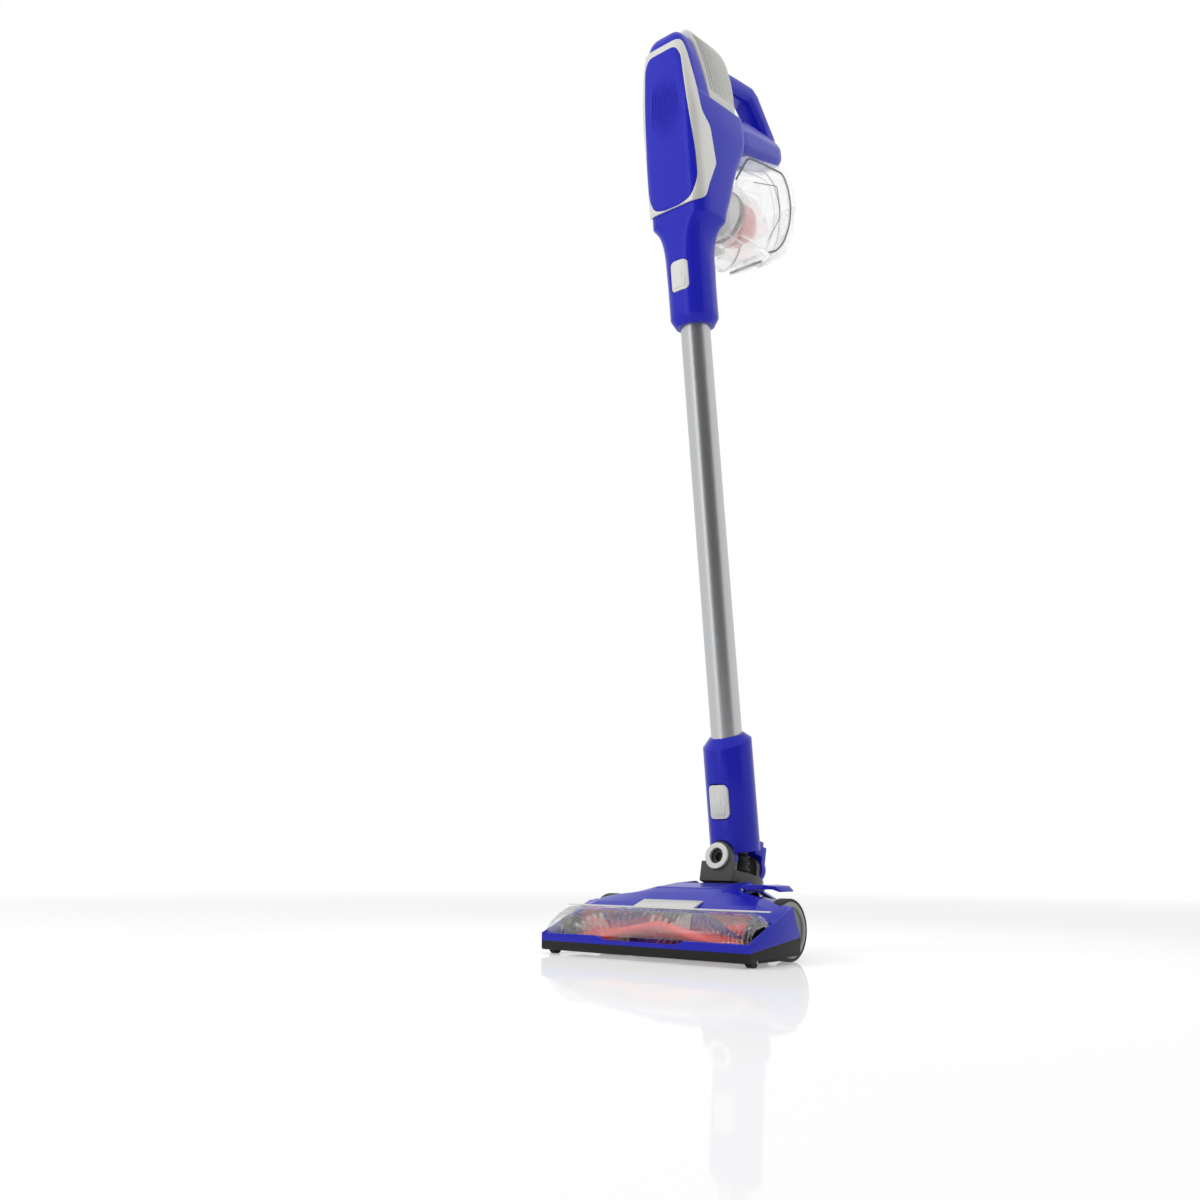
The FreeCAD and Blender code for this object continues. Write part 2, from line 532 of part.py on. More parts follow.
def make_brush():
    """Brush roll with a helical blade, two tuft rows, shaft, pulley and end bearings."""
    left_end = "-belt_plane+belt_width/2+2"
    right_end = "chamber_half-7"
    axis = ("brush_back", "brush_height")
    length = "(%s)-(%s)" % (right_end, left_end)
    core = rod("brush_body", "X", (left_end,) + axis, "core_radius", length)
    bore = rod("brush_bore", "X", (left_end,) + axis, "shaft_radius", length)
    core_whole = cut("brush_body_bored", core, bore)
    shaft = rod("brush_rod", "X", ("-chamber_half-3",) + axis, "shaft_radius", "2*chamber_half+6")
    pulley = rod("brush_pulley_disc", "X", ("-belt_plane-belt_width/2",) + axis, "brush_pulley_radius",
                 "belt_width")
    pulley_bore = rod("brush_pulley_bore", "X", ("-belt_plane-belt_width/2",) + axis, "shaft_radius",
                      "belt_width")
    sub_part("brush_shaft", shaft)
    sub_part("brush_pulley", cut("brush_pulley_bored", pulley, pulley_bore))

    pitch = value("2*(%s)" % length)
    centre = point((left_end,) + axis)
    reach = value("bristle_radius-core_radius")
    rows = {"brush_tufts_white": (0.0, 180.0), "brush_tufts_purple": (90.0, 270.0)}
    tufts_per_row = 22
    tuft_radius = 1.6
    spacing = value(length) / tufts_per_row
    for label, phases in rows.items():
        tufts = []
        for phase in phases:
            for number in range(tufts_per_row):
                along = spacing * (number + 0.5)
                angle = phase + 360.0 * along / pitch
                root = Vector(along, 0, value("core_radius") - 1.0)
                tuft = Part.makeCylinder(tuft_radius, reach + 1.0, root)
                tuft.rotate(Vector(0, 0, 0), Vector(1, 0, 0), angle)
                tufts.append(tuft)
        item = doc.addObject("Part::Feature", label + "_rows")
        body = Part.makeCylinder(value("core_radius"), value(length), Vector(0, 0, 0), Vector(1, 0, 0))
        item.Shape = Part.makeCompound([tuft.cut(body) for tuft in tufts])
        sub_part(label, item, Placement(centre, Rotation()))
    sub_part("brush_core", core_whole)
    for side, sign in SIDES:
        low, high = span_x(sign, "chamber_half-5", "chamber_half")
        cap = rod("bearing_cap_" + side, "X", (low,) + axis, "core_radius-1", "5")
        bearing = rod("bearing_cap_bore_" + side, "X", (low,) + axis, "shaft_radius+running_gap", "5")
        sub_part("brush_bearing_" + side, cut("bearing_cap_bored_" + side, cap, bearing))


def make_drive():
    """Brush motor, its pulley and the belt."""
    axis = ("brush_motor_back", "brush_motor_height")
    near = "-belt_plane+belt_width/2+2"
    can = rod("brush_motor_can", "X", (near,) + axis, "brush_motor_radius", "brush_motor_length")
    boss = rod("brush_motor_boss", "X", (near,) + axis, "motor_pulley_radius-2.5+running_gap",
               "brush_motor_length/2")
    foot = block("brush_motor_foot", (near, "brush_motor_back-7", "rear_gap+3"),
                 ("%s+brush_motor_length" % near, "brush_motor_back+5", "brush_motor_height-9"))
    body = fuse("brush_motor_body", can, foot)
    sub_part("brush_motor", cut("brush_motor_bored", body, boss))
    start = "-belt_plane-belt_width/2"
    wheel = rod("motor_pulley_disc", "X", (start,) + axis, "motor_pulley_radius", "belt_width")
    shaft = rod("motor_pulley_rod", "X", (start,) + axis, "motor_pulley_radius-2.5",
                "belt_width+2+brush_motor_length/2-1")
    sub_part("motor_pulley", fuse("motor_pulley_whole", wheel, shaft))

    def loop(extra):
        """Outline of a belt round both pulleys, extra outside their faces."""
        small = value("motor_pulley_radius") + extra
        large = value("brush_pulley_radius") + extra
        one = Vector(value(start), value("brush_back"), value("brush_height"))
        two = Vector(value(start), value("brush_motor_back"), value("brush_motor_height"))
        run = two - one
        lean = math.asin((large - small) / run.Length)
        heading = math.atan2(run.z, run.y)

        def spot(centre, radius, angle):
            return centre + Vector(0, radius * math.cos(angle), radius * math.sin(angle))

        up, down = heading + math.pi / 2 - lean, heading - math.pi / 2 + lean
        edges = [
            Part.LineSegment(spot(one, large, up), spot(two, small, up)).toShape(),
            Part.Arc(spot(two, small, up), spot(two, small, heading), spot(two, small, down)).toShape(),
            Part.LineSegment(spot(two, small, down), spot(one, large, down)).toShape(),
            Part.Arc(spot(one, large, down), spot(one, large, heading + math.pi),
                     spot(one, large, up)).toShape(),
        ]
        return Part.Face(Part.Wire(edges))

    gap = value("running_gap")
    ring = loop(gap + value("belt_thickness")).cut(loop(gap))
    item = doc.addObject("Part::Feature", "belt_loop")
    item.Shape = ring.extrude(Vector(value("belt_width"), 0, 0))
    sub_part("drive_belt", item)


def make_duct():
    """Rigid suction duct from the brush chamber to the hose."""
    start = ("0", "chamber_back+2.4", "duct_height")
    length = "duct_end-chamber_back-2.4"
    pipe = rod("duct_pipe", "Y", start, "duct_radius", length)
    bore = rod("duct_bore", "Y", start, "duct_radius-duct_wall", length)
    foot = block("duct_foot", ("-12", "base_depth+part_gap", "rear_gap+3"), ("12", "duct_end", "duct_height"))
    sub_part("suction_duct", cut("duct_open", fuse("duct_whole", pipe, foot), bore))


def make_wheels():
    """Rear wheels with tyres and axles, front rollers with pins."""
    for side, sign in SIDES:
        low, high = span_x(sign, "wheel_inner", "wheel_inner+wheel_width")
        axis = ("wheel_back", "wheel_radius")
        rim = "wheel_radius-tyre_thickness"
        disc = rod("hub_disc_" + side, "X", (low,) + axis, rim, "wheel_width")
        bore = rod("hub_bore_" + side, "X", (low,) + axis, "wheel_axle_radius+running_gap", "wheel_width")
        dish_low, _ = span_x(sign, "wheel_inner+wheel_width-3", "wheel_inner+wheel_width")
        dish = rod("hub_dish_" + side, "X", (dish_low,) + axis, rim + "-5", "3")
        back_low, _ = span_x(sign, "wheel_inner", "wheel_inner+4")
        relief = rod("hub_relief_" + side, "X", (back_low,) + axis, rim + "-3", "4")
        nave = rod("hub_nave_" + side, "X", (low,) + axis, "wheel_axle_radius+5", "wheel_width-2")
        hub = fuse("hub_webbed_" + side, cut("hub_dished_" + side, disc, dish, relief), nave)
        sub_part("wheel_hub_" + side, cut("hub_bored_" + side, hub, bore))
        band = rod("tyre_disc_" + side, "X", (low,) + axis, "wheel_radius", "wheel_width")
        seat = rod("tyre_seat_" + side, "X", (low,) + axis, rim, "wheel_width")
        sub_part("wheel_tyre_" + side, cut("tyre_ring_" + side, band, seat))
        low, high = span_x(sign, "wheel_inner-7", "wheel_inner+wheel_width+2")
        stem = rod("axle_stem_" + side, "X", (low,) + axis, "wheel_axle_radius", "wheel_width+9")
        cap_low, _ = span_x(sign, "wheel_inner+wheel_width+part_gap", "wheel_inner+wheel_width+2")
        cap = rod("axle_cap_" + side, "X", (cap_low,) + axis, "wheel_axle_radius+3", "2-part_gap")
        sub_part("wheel_axle_" + side, fuse("axle_whole_" + side, stem, cap))
        low, high = span_x(sign, "roller_centre-roller_width/2", "roller_centre+roller_width/2")
        axis = ("roller_back", "roller_radius")
        roll = rod("roller_disc_" + side, "X", (low,) + axis, "roller_radius", "roller_width")
        hole = rod("roller_hole_" + side, "X", (low,) + axis, "roller_pin_radius+running_gap", "roller_width")
        sub_part("front_roller_" + side, cut("roller_bored_" + side, roll, hole))
        low, high = span_x(sign, "roller_centre-roller_width/2-4", "roller_centre+roller_width/2+3")
        sub_part("roller_pin_" + side, rod("roller_pin_rod_" + side, "X", (low,) + axis,
                                           "roller_pin_radius", "roller_width+7"))


def make_pedal():
    """Foot pedal that stands out over the right wheel, hinged at its root."""
    plate = slab("pedal_plate", "XZ", PEDAL_FRONT, "pedal_length", [
        ("pedal_root-3", "pedal_height+1"), ("pedal_root+2", "pedal_height-0.4"),
        ("pedal_root+20", "pedal_height+1.5"), ("pedal_root+32", "pedal_height+1"),
        ("pedal_root+38", "pedal_height-1.5"), ("pedal_root+39", "pedal_height-0.5"),
        ("pedal_root+34", "pedal_height+4.5"), ("pedal_root+20", "pedal_height+5.5"),
        ("pedal_root+2", "pedal_height+5"), ("pedal_root-3", "pedal_height+4"),
    ])
    corner = slab("pedal_corner", "XY", "pedal_height-10", "30", [
        ("pedal_root+22", PEDAL_FRONT + "-1"), ("pedal_root+41", PEDAL_FRONT + "-1"),
        ("pedal_root+41", PEDAL_FRONT + "+12"),
    ])
    eye = rod("pedal_eye", "Y", ("pedal_root", PEDAL_FRONT, "pedal_height"), "pedal_pin_radius+1.7",
              "pedal_length")
    bore = rod("pedal_bore", "Y", ("pedal_root", PEDAL_FRONT + "-1", "pedal_height"),
               "pedal_pin_radius+running_gap", "pedal_length+3")
    sub_part("foot_pedal", cut("pedal_whole", fuse("pedal_body", plate, eye), corner, bore))
    sub_part("pedal_pin", rod("pedal_pin_rod", "Y", ("pedal_root", PEDAL_FRONT + "-2.5", "pedal_height"),
                              "pedal_pin_radius", "pedal_length+5"))


# ---------------------------------------------------------------------------------------------------
# Swivel between floor tool and wand
# ---------------------------------------------------------------------------------------------------
ACROSS = Vector(1, 0, 0)
SWIVEL = Placement(point(("0", "pivot_back", "pivot_height")), Rotation(ACROSS, -value("swivel_tilt")))
WAND = Placement(point(("0", "pivot_back", "wand_root")), Rotation(ACROSS, value("wand_lean")))
HAND = WAND * Placement(point(("0", "0", "tube_bottom+tube_length")), Rotation())
SWIVEL_FROM_WAND = WAND.inverse() * SWIVEL
YOKE_HEAD = "(yoke_plate_half-4.5)"
HOSE_HOLE = "(hose_radius+2.5)"


def make_yoke():
    """Black yoke: front plate, cup, rear post and two trunnion cheeks."""
    plate = block("yoke_plate_block", ("-yoke_plate_half", "-yoke_front", "-yoke_floor"),
                  ("yoke_plate_half", "-yoke_front+yoke_plate", "-5"))
    head = rod("yoke_plate_head", "Y", ("0", "-yoke_front", "0"), YOKE_HEAD, "yoke_plate")
    cup = slab("yoke_cup", "XY", "-yoke_floor", "yoke_floor-yoke_rim", mirrored([
        ("yoke_plate_half", "-yoke_front"), ("yoke_plate_half+2", "-yoke_front+8"), ("yoke_cup_half", "-12"),
        ("yoke_cup_half", "10"), ("20", "yoke_rear+yoke_post"),
    ]))
    skirt = slab("yoke_skirt", "XY", "-yoke_floor-7", "7.5", mirrored([
        ("18", "-yoke_front+7"), ("trunnion_outer", "-14"), ("trunnion_outer", "8"), ("16", "yoke_rear"),
    ]))
    hole = rod("yoke_hose_hole", "Z", ("0", "2.5", "-yoke_floor-10"), HOSE_HOLE, "yoke_floor")
    post = block("yoke_post_block", ("-14", "yoke_rear", "-yoke_floor"), ("14", "yoke_rear+yoke_post", "0"))
    post_head = rod("yoke_post_head", "Y", ("0", "yoke_rear", "0"), "14", "yoke_post")
    room = rod("yoke_ear_room", "Y", ("0", "-yoke_front+yoke_plate", "0"), "ear_radius+1.2",
               "yoke_front-yoke_plate+yoke_rear")
    cheeks = []
    for side, sign in SIDES:
        low, high = span_x(sign, "trunnion_outer-trunnion_wall", "trunnion_outer")
        stem = block("cheek_stem_" + side, (low, "-pitch_ahead-trunnion_radius+2", "-pitch_drop"),
                     (high, "-pitch_ahead+trunnion_radius-2", "-yoke_floor"))
        disc = rod("cheek_disc_" + side, "X", (low, "-pitch_ahead", "-pitch_drop"), "trunnion_radius",
                   "trunnion_wall")
        bore = rod("cheek_bore_" + side, "X", (low, "-pitch_ahead", "-pitch_drop"), "pitch_pin_radius",
                   "trunnion_wall")
        cheeks.append(cut("cheek_" + side, fuse("cheek_whole_" + side, stem, disc), bore))
        low, _ = span_x(sign, "trunnion_outer-trunnion_wall", ARM_OUTER)
        pin = rod("pitch_pin_rod_" + side, "X", (low, "-pitch_ahead", "-pitch_drop"), "pitch_pin_radius",
                  "%s-trunnion_outer+trunnion_wall" % ARM_OUTER)
        sub_part("pitch_pin_" + side, pin, SWIVEL)
    cup_open = cut("yoke_cup_open", fuse("yoke_cup_whole", cup, skirt), hole, room)
    body = fuse("yoke_body", plate, head, cup_open, post, post_head, *cheeks)
    front_bore = rod("yoke_front_bore", "Y", ("0", "-yoke_front-1", "0"), "front_pin_radius", "yoke_plate+2")
    rear_bore = rod("yoke_rear_bore", "Y", ("0", "yoke_rear-1", "0"), "rear_pin_radius", "yoke_post+2")
    sub_part("yoke", cut("yoke_bored", body, front_bore, rear_bore), SWIVEL)
    ring = rod("ring_disc", "Y", ("0", "-yoke_front-ring_depth", "0"), "ring_radius", "ring_depth")
    eye = rod("ring_eye", "Y", ("0", "-yoke_front-ring_depth", "0"), "ring_bore", "ring_depth")
    sub_part("swivel_ring", cut("ring_whole", ring, eye), SWIVEL)
    reach = "yoke_plate+ear_thickness-2"
    pin = rod("front_pin_rod", "Y", ("0", "-yoke_front+2", "0"), "front_pin_radius", reach)
    recess = rod("front_pin_recess", "Y", ("0", "-yoke_front+2", "0"), "front_pin_radius-3", "6")
    sub_part("swivel_pin_front", cut("front_pin_whole", pin, recess), SWIVEL)
    sub_part("swivel_pin_rear", rod("rear_pin_rod", "Y", ("0", "yoke_rear", "0"), "rear_pin_radius",
                                    "yoke_post+ear_thickness"), SWIVEL)


def make_hose():
    """Flexible hose: out of the duct, round a bend and up into the neck."""
    def run(name, radius):
        begin = ("0", "duct_end+part_gap", "duct_height")
        level = rod(name + "_level", "Y", begin, radius, "6")
        bend = doc.addObject("Part::Torus", name + "_bend")
        bind(bend, "Radius1", "hose_bend")
        bind(bend, "Radius2", radius)
        bend.Angle3 = 90
        bend.Placement = Placement(point(("0", "duct_end+part_gap+6", "duct_height+hose_bend")),
                                   Rotation(Vector(0, 1, 0), 90))
        rise = rod(name + "_rise", "Z", ("0", "duct_end+part_gap+6+hose_bend", "duct_height+hose_bend"),
                   radius, "wand_root+neck_bottom+7-duct_height-hose_bend")
        return fuse(name, level, bend, rise)

    sub_part("flex_hose", cut("hose_whole", run("hose_outer", "hose_radius"),
                              run("hose_inner", "hose_radius-hose_wall")))


def button_outline(middle, grow="0"):
    """Octagon of a release button, made larger all round by grow."""
    half = "(button_width/2+%s)" % grow
    tall = "(button_height/2+%s)" % grow
    return mirrored([
        (half + "-6", "%s-%s" % (middle, tall)), (half, "%s-%s+7" % (middle, tall)),
        (half, "%s+%s-7" % (middle, tall)), (half + "-6", "%s+%s" % (middle, tall)),
    ])


def make_button(label, middle, collar, frame):
    """Curved release button that sits in the front of a collar, and the pocket for it."""
    depth = "(%s-tube_radius-socket_gap-button_travel-1.1)" % collar
    front = "-(%s+button_proud+1)" % collar
    plug = slab(label + "_plug", "XZ", front, "%s+button_proud+1" % depth, button_outline(middle))
    face = rod(label + "_face", "Z", ("0", "0", "%s-button_height" % middle), collar + "+button_proud",
               "2*button_height")
    sub_part(label, common(label + "_whole", plug, face), frame)
    return slab(label + "_pocket", "XZ", front + "-2", "%s+button_travel+button_proud+3.3" % depth,
                button_outline(middle, "part_gap"))


def make_neck():
    """Blue neck collar with two swivel ears and a sloping mouth."""
    pocket = make_button("neck_button", "neck_button", "neck_radius", WAND)
    barrel = rod("neck_barrel", "Z", ("0", "0", "neck_bottom"), "neck_radius", "neck_top+8-neck_bottom")
    reach = 200
    mouth = doc.addObject("Part::Cone", "neck_mouth")
    mouth.Height = reach
    bind(mouth, "Radius2", "tube_radius+socket_gap+2")
    bind(mouth, "Radius1", "tube_radius+socket_gap+2+%d" % reach)
    tilt = Placement(point(("0", "0", "neck_top")), Rotation(Vector(1, 0, 0), value("mouth_tilt")))
    mouth.Placement = tilt * Placement(Vector(0, 0, -reach), Rotation())
    collar = common("neck_collar_body", barrel, mouth)
    ear_front = "(-yoke_front+yoke_plate+0.5)"
    ear_rear = "(yoke_rear+yoke_post+0.5)"
    near = SWIVEL_FROM_WAND
    notch = rod("neck_notch", "Y", ("0", ear_front + "-30", "0"), YOKE_HEAD + "+1.5", "30", near)
    front_disc = rod("front_ear_disc", "Y", ("0", ear_front, "0"), "ear_radius", "ear_thickness", near)
    front_arm = block("front_ear_arm", ("-ear_radius+2", ear_front, "0"),
                      ("ear_radius-2", ear_front + "+ear_thickness", "20"), near)
    rear_disc = rod("rear_ear_disc", "Y", ("0", ear_rear, "0"), "ear_radius", "ear_thickness", near)
    rear_arm = block("rear_ear_arm", ("-ear_radius+2", ear_rear, "0"),
                     ("ear_radius-2", ear_rear + "+ear_thickness", "27"), near)
    bridge = block("rear_ear_bridge", ("-ear_radius+2", "16", "15.5"),
                   ("ear_radius-2", ear_rear + "+1", "32"), near)
    body = fuse("neck_body", cut("neck_notched", collar, notch), front_disc, front_arm, rear_disc, rear_arm,
                bridge)
    front_bore = rod("front_ear_bore", "Y", ("0", ear_front + "-1", "0"), "front_pin_radius+running_gap",
                     "ear_thickness+2", near)
    rear_bore = rod("rear_ear_bore", "Y", ("0", ear_rear + "-1", "0"), "rear_pin_radius+running_gap",
                    "ear_thickness+2", near)
    hose_mouth = rod("neck_hose_mouth", "Z", ("0", "0", "neck_bottom-4"), HOSE_HOLE, "14")
    passage = rod("neck_passage", "Z", ("0", "0", "0"), "air_radius", "tube_bottom")
    socket = rod("neck_socket", "Z", ("0", "0", "tube_bottom"), "tube_radius+socket_gap", "neck_top")
    tools = [front_bore, rear_bore, hose_mouth, passage, socket, pocket]
    sub_part("neck_collar", cut("neck_whole", body, *tools), WAND)


# ---------------------------------------------------------------------------------------------------
# Wand and hand unit
# ---------------------------------------------------------------------------------------------------
def make_wand():
    """Aluminium tube with a plastic contact sleeve inside each end."""
    length = "tube_length-2*part_gap"
    start = ("0", "0", "tube_bottom+part_gap")
    outer = rod("tube_outer", "Z", start, "tube_radius", length)
    inner = rod("tube_inner", "Z", start, "tube_radius-tube_wall", length)
    sub_part("wand_tube", cut("tube_whole", outer, inner), WAND)
    for end, low in (("lower", "tube_bottom+part_gap"), ("upper", "tube_bottom+tube_length-part_gap-30")):
        sleeve = rod("sleeve_outer_" + end, "Z", ("0", "0", low), "tube_radius-tube_wall", "30")
        passage = rod("sleeve_inner_" + end, "Z", ("0", "0", low), "air_radius-1", "30")
        sub_part("wand_sleeve_" + end, cut("sleeve_whole_" + end, sleeve, passage), WAND)


def plan(half, low, high, front_corner, back_corner):
    """Octagon in plan between two Y distances, with its own corner size front and back."""
    return mirrored([
        ("(%s)-(%s)" % (half, front_corner), low), (half, "(%s)+(%s)" % (low, front_corner)),
        (half, "(%s)-(%s)" % (high, back_corner)), ("(%s)-(%s)" % (half, back_corner), high),
    ])


def tower(name, rows, inset="0"):
    """Solid through plans stacked along the wand: (height, half, low, high, corner, corner)."""
    return skin(name, [
        ("XY", height, plan("(%s)-%s" % (half, inset), "(%s)+%s" % (low, inset), "(%s)-%s" % (high, inset),
                            front_corner, back_corner))
        for height, half, low, high, front_corner, back_corner in rows
    ])


LOWER_ROWS = [
    ("-7", "26", "-26", "26", "10", "10"),
    ("28", "29.5", "-body_front", "26", "11", "10"),
    ("58", "body_half-1", "-body_front", "26", "15", "12"),
    ("88", "body_half", "-body_front", "36", "15", "3"),
    ("138", "body_half", "-body_front", "69", "15", "3"),
    ("178", "body_half", "-body_front", "body_back", "15", "3"),
    ("body_shoulder", "body_half-2", "-body_front", "body_back", "15", "8"),
]
UPPER_ROWS = [
    ("body_shoulder-1", "body_half-3.5", "-body_front", "18", "13", "3"),
    ("280", "31.5", "-body_front+1", "4", "10", "3"),
    ("298", "26.5", "-body_front+4.5", "1.5", "9", "2"),
    ("body_top", "18", "-16", "-2", "4", "2"),
]
COVER_ROWS = [
    ("body_shoulder", "cover_half", "18.3", "86", "2", "18"),
    ("238", "cover_half-0.5", "14.2", "88", "2", "18"),
    ("280", "cover_half-4", "4.5", "86", "2", "16"),
    ("305", "26", "1.5", "80", "2", "13"),
    ("cover_top", "12", "18", "60", "5", "6"),
]
TRIM_SIDE = [
    ("-60", "64"), ("-19", "67"), ("-12", "85"), ("8", "121"), ("1", "168"), ("-14", "181"),
    ("-24", "286"), ("-60", "289"),
]


def panel_outline(grow="0"):
    """Tapered front panel seen from the front."""
    return mirrored([
        ("10+%s" % grow, "68-%s" % grow), ("24+%s" % grow, "78-%s" % grow), ("31+%s" % grow, "94"),
        ("31+%s" % grow, "118"), ("21+%s" % grow, "269"), ("16+%s" % grow, "276+%s" % grow),
    ])


def make_body():
    """Blue body shell with its wand socket, front trim and ribbed panel."""
    pocket = make_button("hand_button", "hand_button", "collar_radius", HAND)
    solid = fuse("body_solid", tower("body_lower", LOWER_ROWS), tower("body_upper", UPPER_ROWS))
    mouth = cone("body_mouth", "Z", ("0", "0", "collar_bottom"), "collar_radius-6", "collar_radius", "11")
    collar = rod("body_collar", "Z", ("0", "0", "collar_bottom+11"), "collar_radius", "8-collar_bottom-11")
    hollow_rows = [("91",) + LOWER_ROWS[3][1:]] + LOWER_ROWS[4:6] + [
        ("body_shoulder-3",) + LOWER_ROWS[6][1:]]
    hollow = tower("body_hollow", hollow_rows, "3")
    upper_rows = [("body_shoulder-6",) + UPPER_ROWS[0][1:], UPPER_ROWS[1],
                  ("296", "25", "-body_front+6", "0.5", "7", "2")]
    upper_hollow = tower("body_upper_hollow", upper_rows, "3")
    socket = rod("body_socket", "Z", ("0", "0", "collar_bottom-1"), "tube_radius+socket_gap",
                 "1-collar_bottom")
    passage = rod("body_passage", "Z", ("0", "0", "-1"), "air_radius", "98")
    port = rod("body_port", "Y", ("0", "20", "separator_height"), "filter_radius-5", "60")
    motor_hole = rod("body_motor_hole", "Z", ("0", "motor_back", "body_shoulder-4"), "motor_radius+1", "8")
    jack_hole = rod("body_jack_hole", "X", ("-body_half-1", "60", "193"), "jack_radius", "12")
    tools = [hollow, upper_hollow, socket, passage, port, motor_hole, jack_hole, pocket]
    sub_part("hand_body", cut("body_whole", fuse("body_outside", solid, mouth, collar), *tools), HAND)

    def grown(name, extra):
        """Body outside, larger by extra, for the skins that lie on it."""
        low = tower(name + "_lower", LOWER_ROWS, "(-%s)" % extra)
        high = tower(name + "_upper", UPPER_ROWS, "(-%s)" % extra)
        return fuse(name, low, high)

    def inner(name):
        return fuse(name, tower(name + "_lower", LOWER_ROWS), tower(name + "_upper", UPPER_ROWS))

    side_view = slab("trim_side_view", "YZ", "-60", "120", TRIM_SIDE)
    window = slab("trim_window", "XZ", "-60", "90", panel_outline("part_gap"))
    trim = common("trim_band", grown("trim_skin_body", "trim_skin"), side_view)
    sub_part("trim_frame", cut("trim_whole", trim, inner("trim_inner"), window), HAND)
    view = slab("panel_view", "XZ", "-60", "60", panel_outline())
    skin_piece = common("panel_band", grown("panel_skin_body", "panel_skin"), view)
    sub_part("front_panel", cut("panel_whole", skin_piece, inner("panel_inner")), HAND)


def make_exhaust_cover():
    """Grey ribbed cover over the suction motor."""
    outer = tower("exhaust_outer", COVER_ROWS)
    inner_rows = [("body_shoulder-2",) + COVER_ROWS[0][1:]] + COVER_ROWS[1:4] + [
        ("cover_top-3",) + COVER_ROWS[4][1:]]
    inner = tower("exhaust_inner", inner_rows, "shell_wall")
    slot = block("exhaust_slot", ("-handle_half-part_gap", "68", "266-part_gap"),
                 ("handle_half+part_gap", "110", "handle_top-handle_fall+2"))
    sub_part("exhaust_cover", cut("exhaust_whole", outer, inner, slot), HAND)


def make_handle():
    """Handle loop: arm over the dust cup, rear bar and top bar, with trigger and bright strip."""
    def arm_section(half, low, crease, top_half, high):
        return mirrored([
            ("(%s)-5" % half, low), (half, "(%s)+7" % low), (half, crease), (top_half, high),
        ])

    def top_line(back, rise):
        """Place on the sloping top of the handle, or above it."""
        return back, "handle_top-(168-%s)*handle_fall/91+(%s)" % (back, rise)

    arm = skin("handle_arm", [
        ("XZ", "body_back", arm_section("handle_half+20", "176", "203", "26", "body_shoulder")),
        ("XZ", "body_back+10", arm_section("handle_half+19", "178.7", "207", "22", "237")),
        ("XZ", "150", arm_section("handle_half+13", "191", "217", "17", "241")),
        ("XZ", "handle_back-6", arm_section("handle_half+4", "208", "232", "13", "243")),
    ])
    bars = slab("handle_bars", "YZ", "-handle_half", "2*handle_half", [
        ("77", "266"), ("150", "283"), ("157", "281"), ("184", "250"), ("188", "238"),
        ("handle_back-6", "232"), ("handle_back", "242"), ("168", "handle_top"),
        ("77", "handle_top-handle_fall"),
    ])
    tongue = block("handle_tongue", ("-handle_half+2", "77", "body_shoulder"),
                   ("handle_half-2", "81", "268"))
    pocket = block("trigger_pocket", ("-6.5", "99", "262"), ("6.5", "125", "288"))
    seat = slab("strip_seat", "YZ", "-4", "8", [
        top_line("96", "-0.6"), top_line("160", "-0.6"), top_line("160", "2"), top_line("96", "2"),
    ])
    whole = cut("handle_whole", fuse("handle_solid", arm, bars, tongue), pocket, seat)
    sub_part("handle_loop", whole, HAND)
    sub_part("handle_strip", slab("strip_bar", "YZ", "-4", "8", [
        top_line("96", "-0.6"), top_line("160", "-0.6"), top_line("160", "0.4"), top_line("96", "0.4"),
    ]), HAND)
    sub_part("power_trigger", slab("trigger_block", "YZ", "-6", "12", [
        ("100", "268"), ("106", "266.5"), ("124", "272"), ("124.5", "279"), ("123", "282"), ("100", "280"),
    ]), HAND)


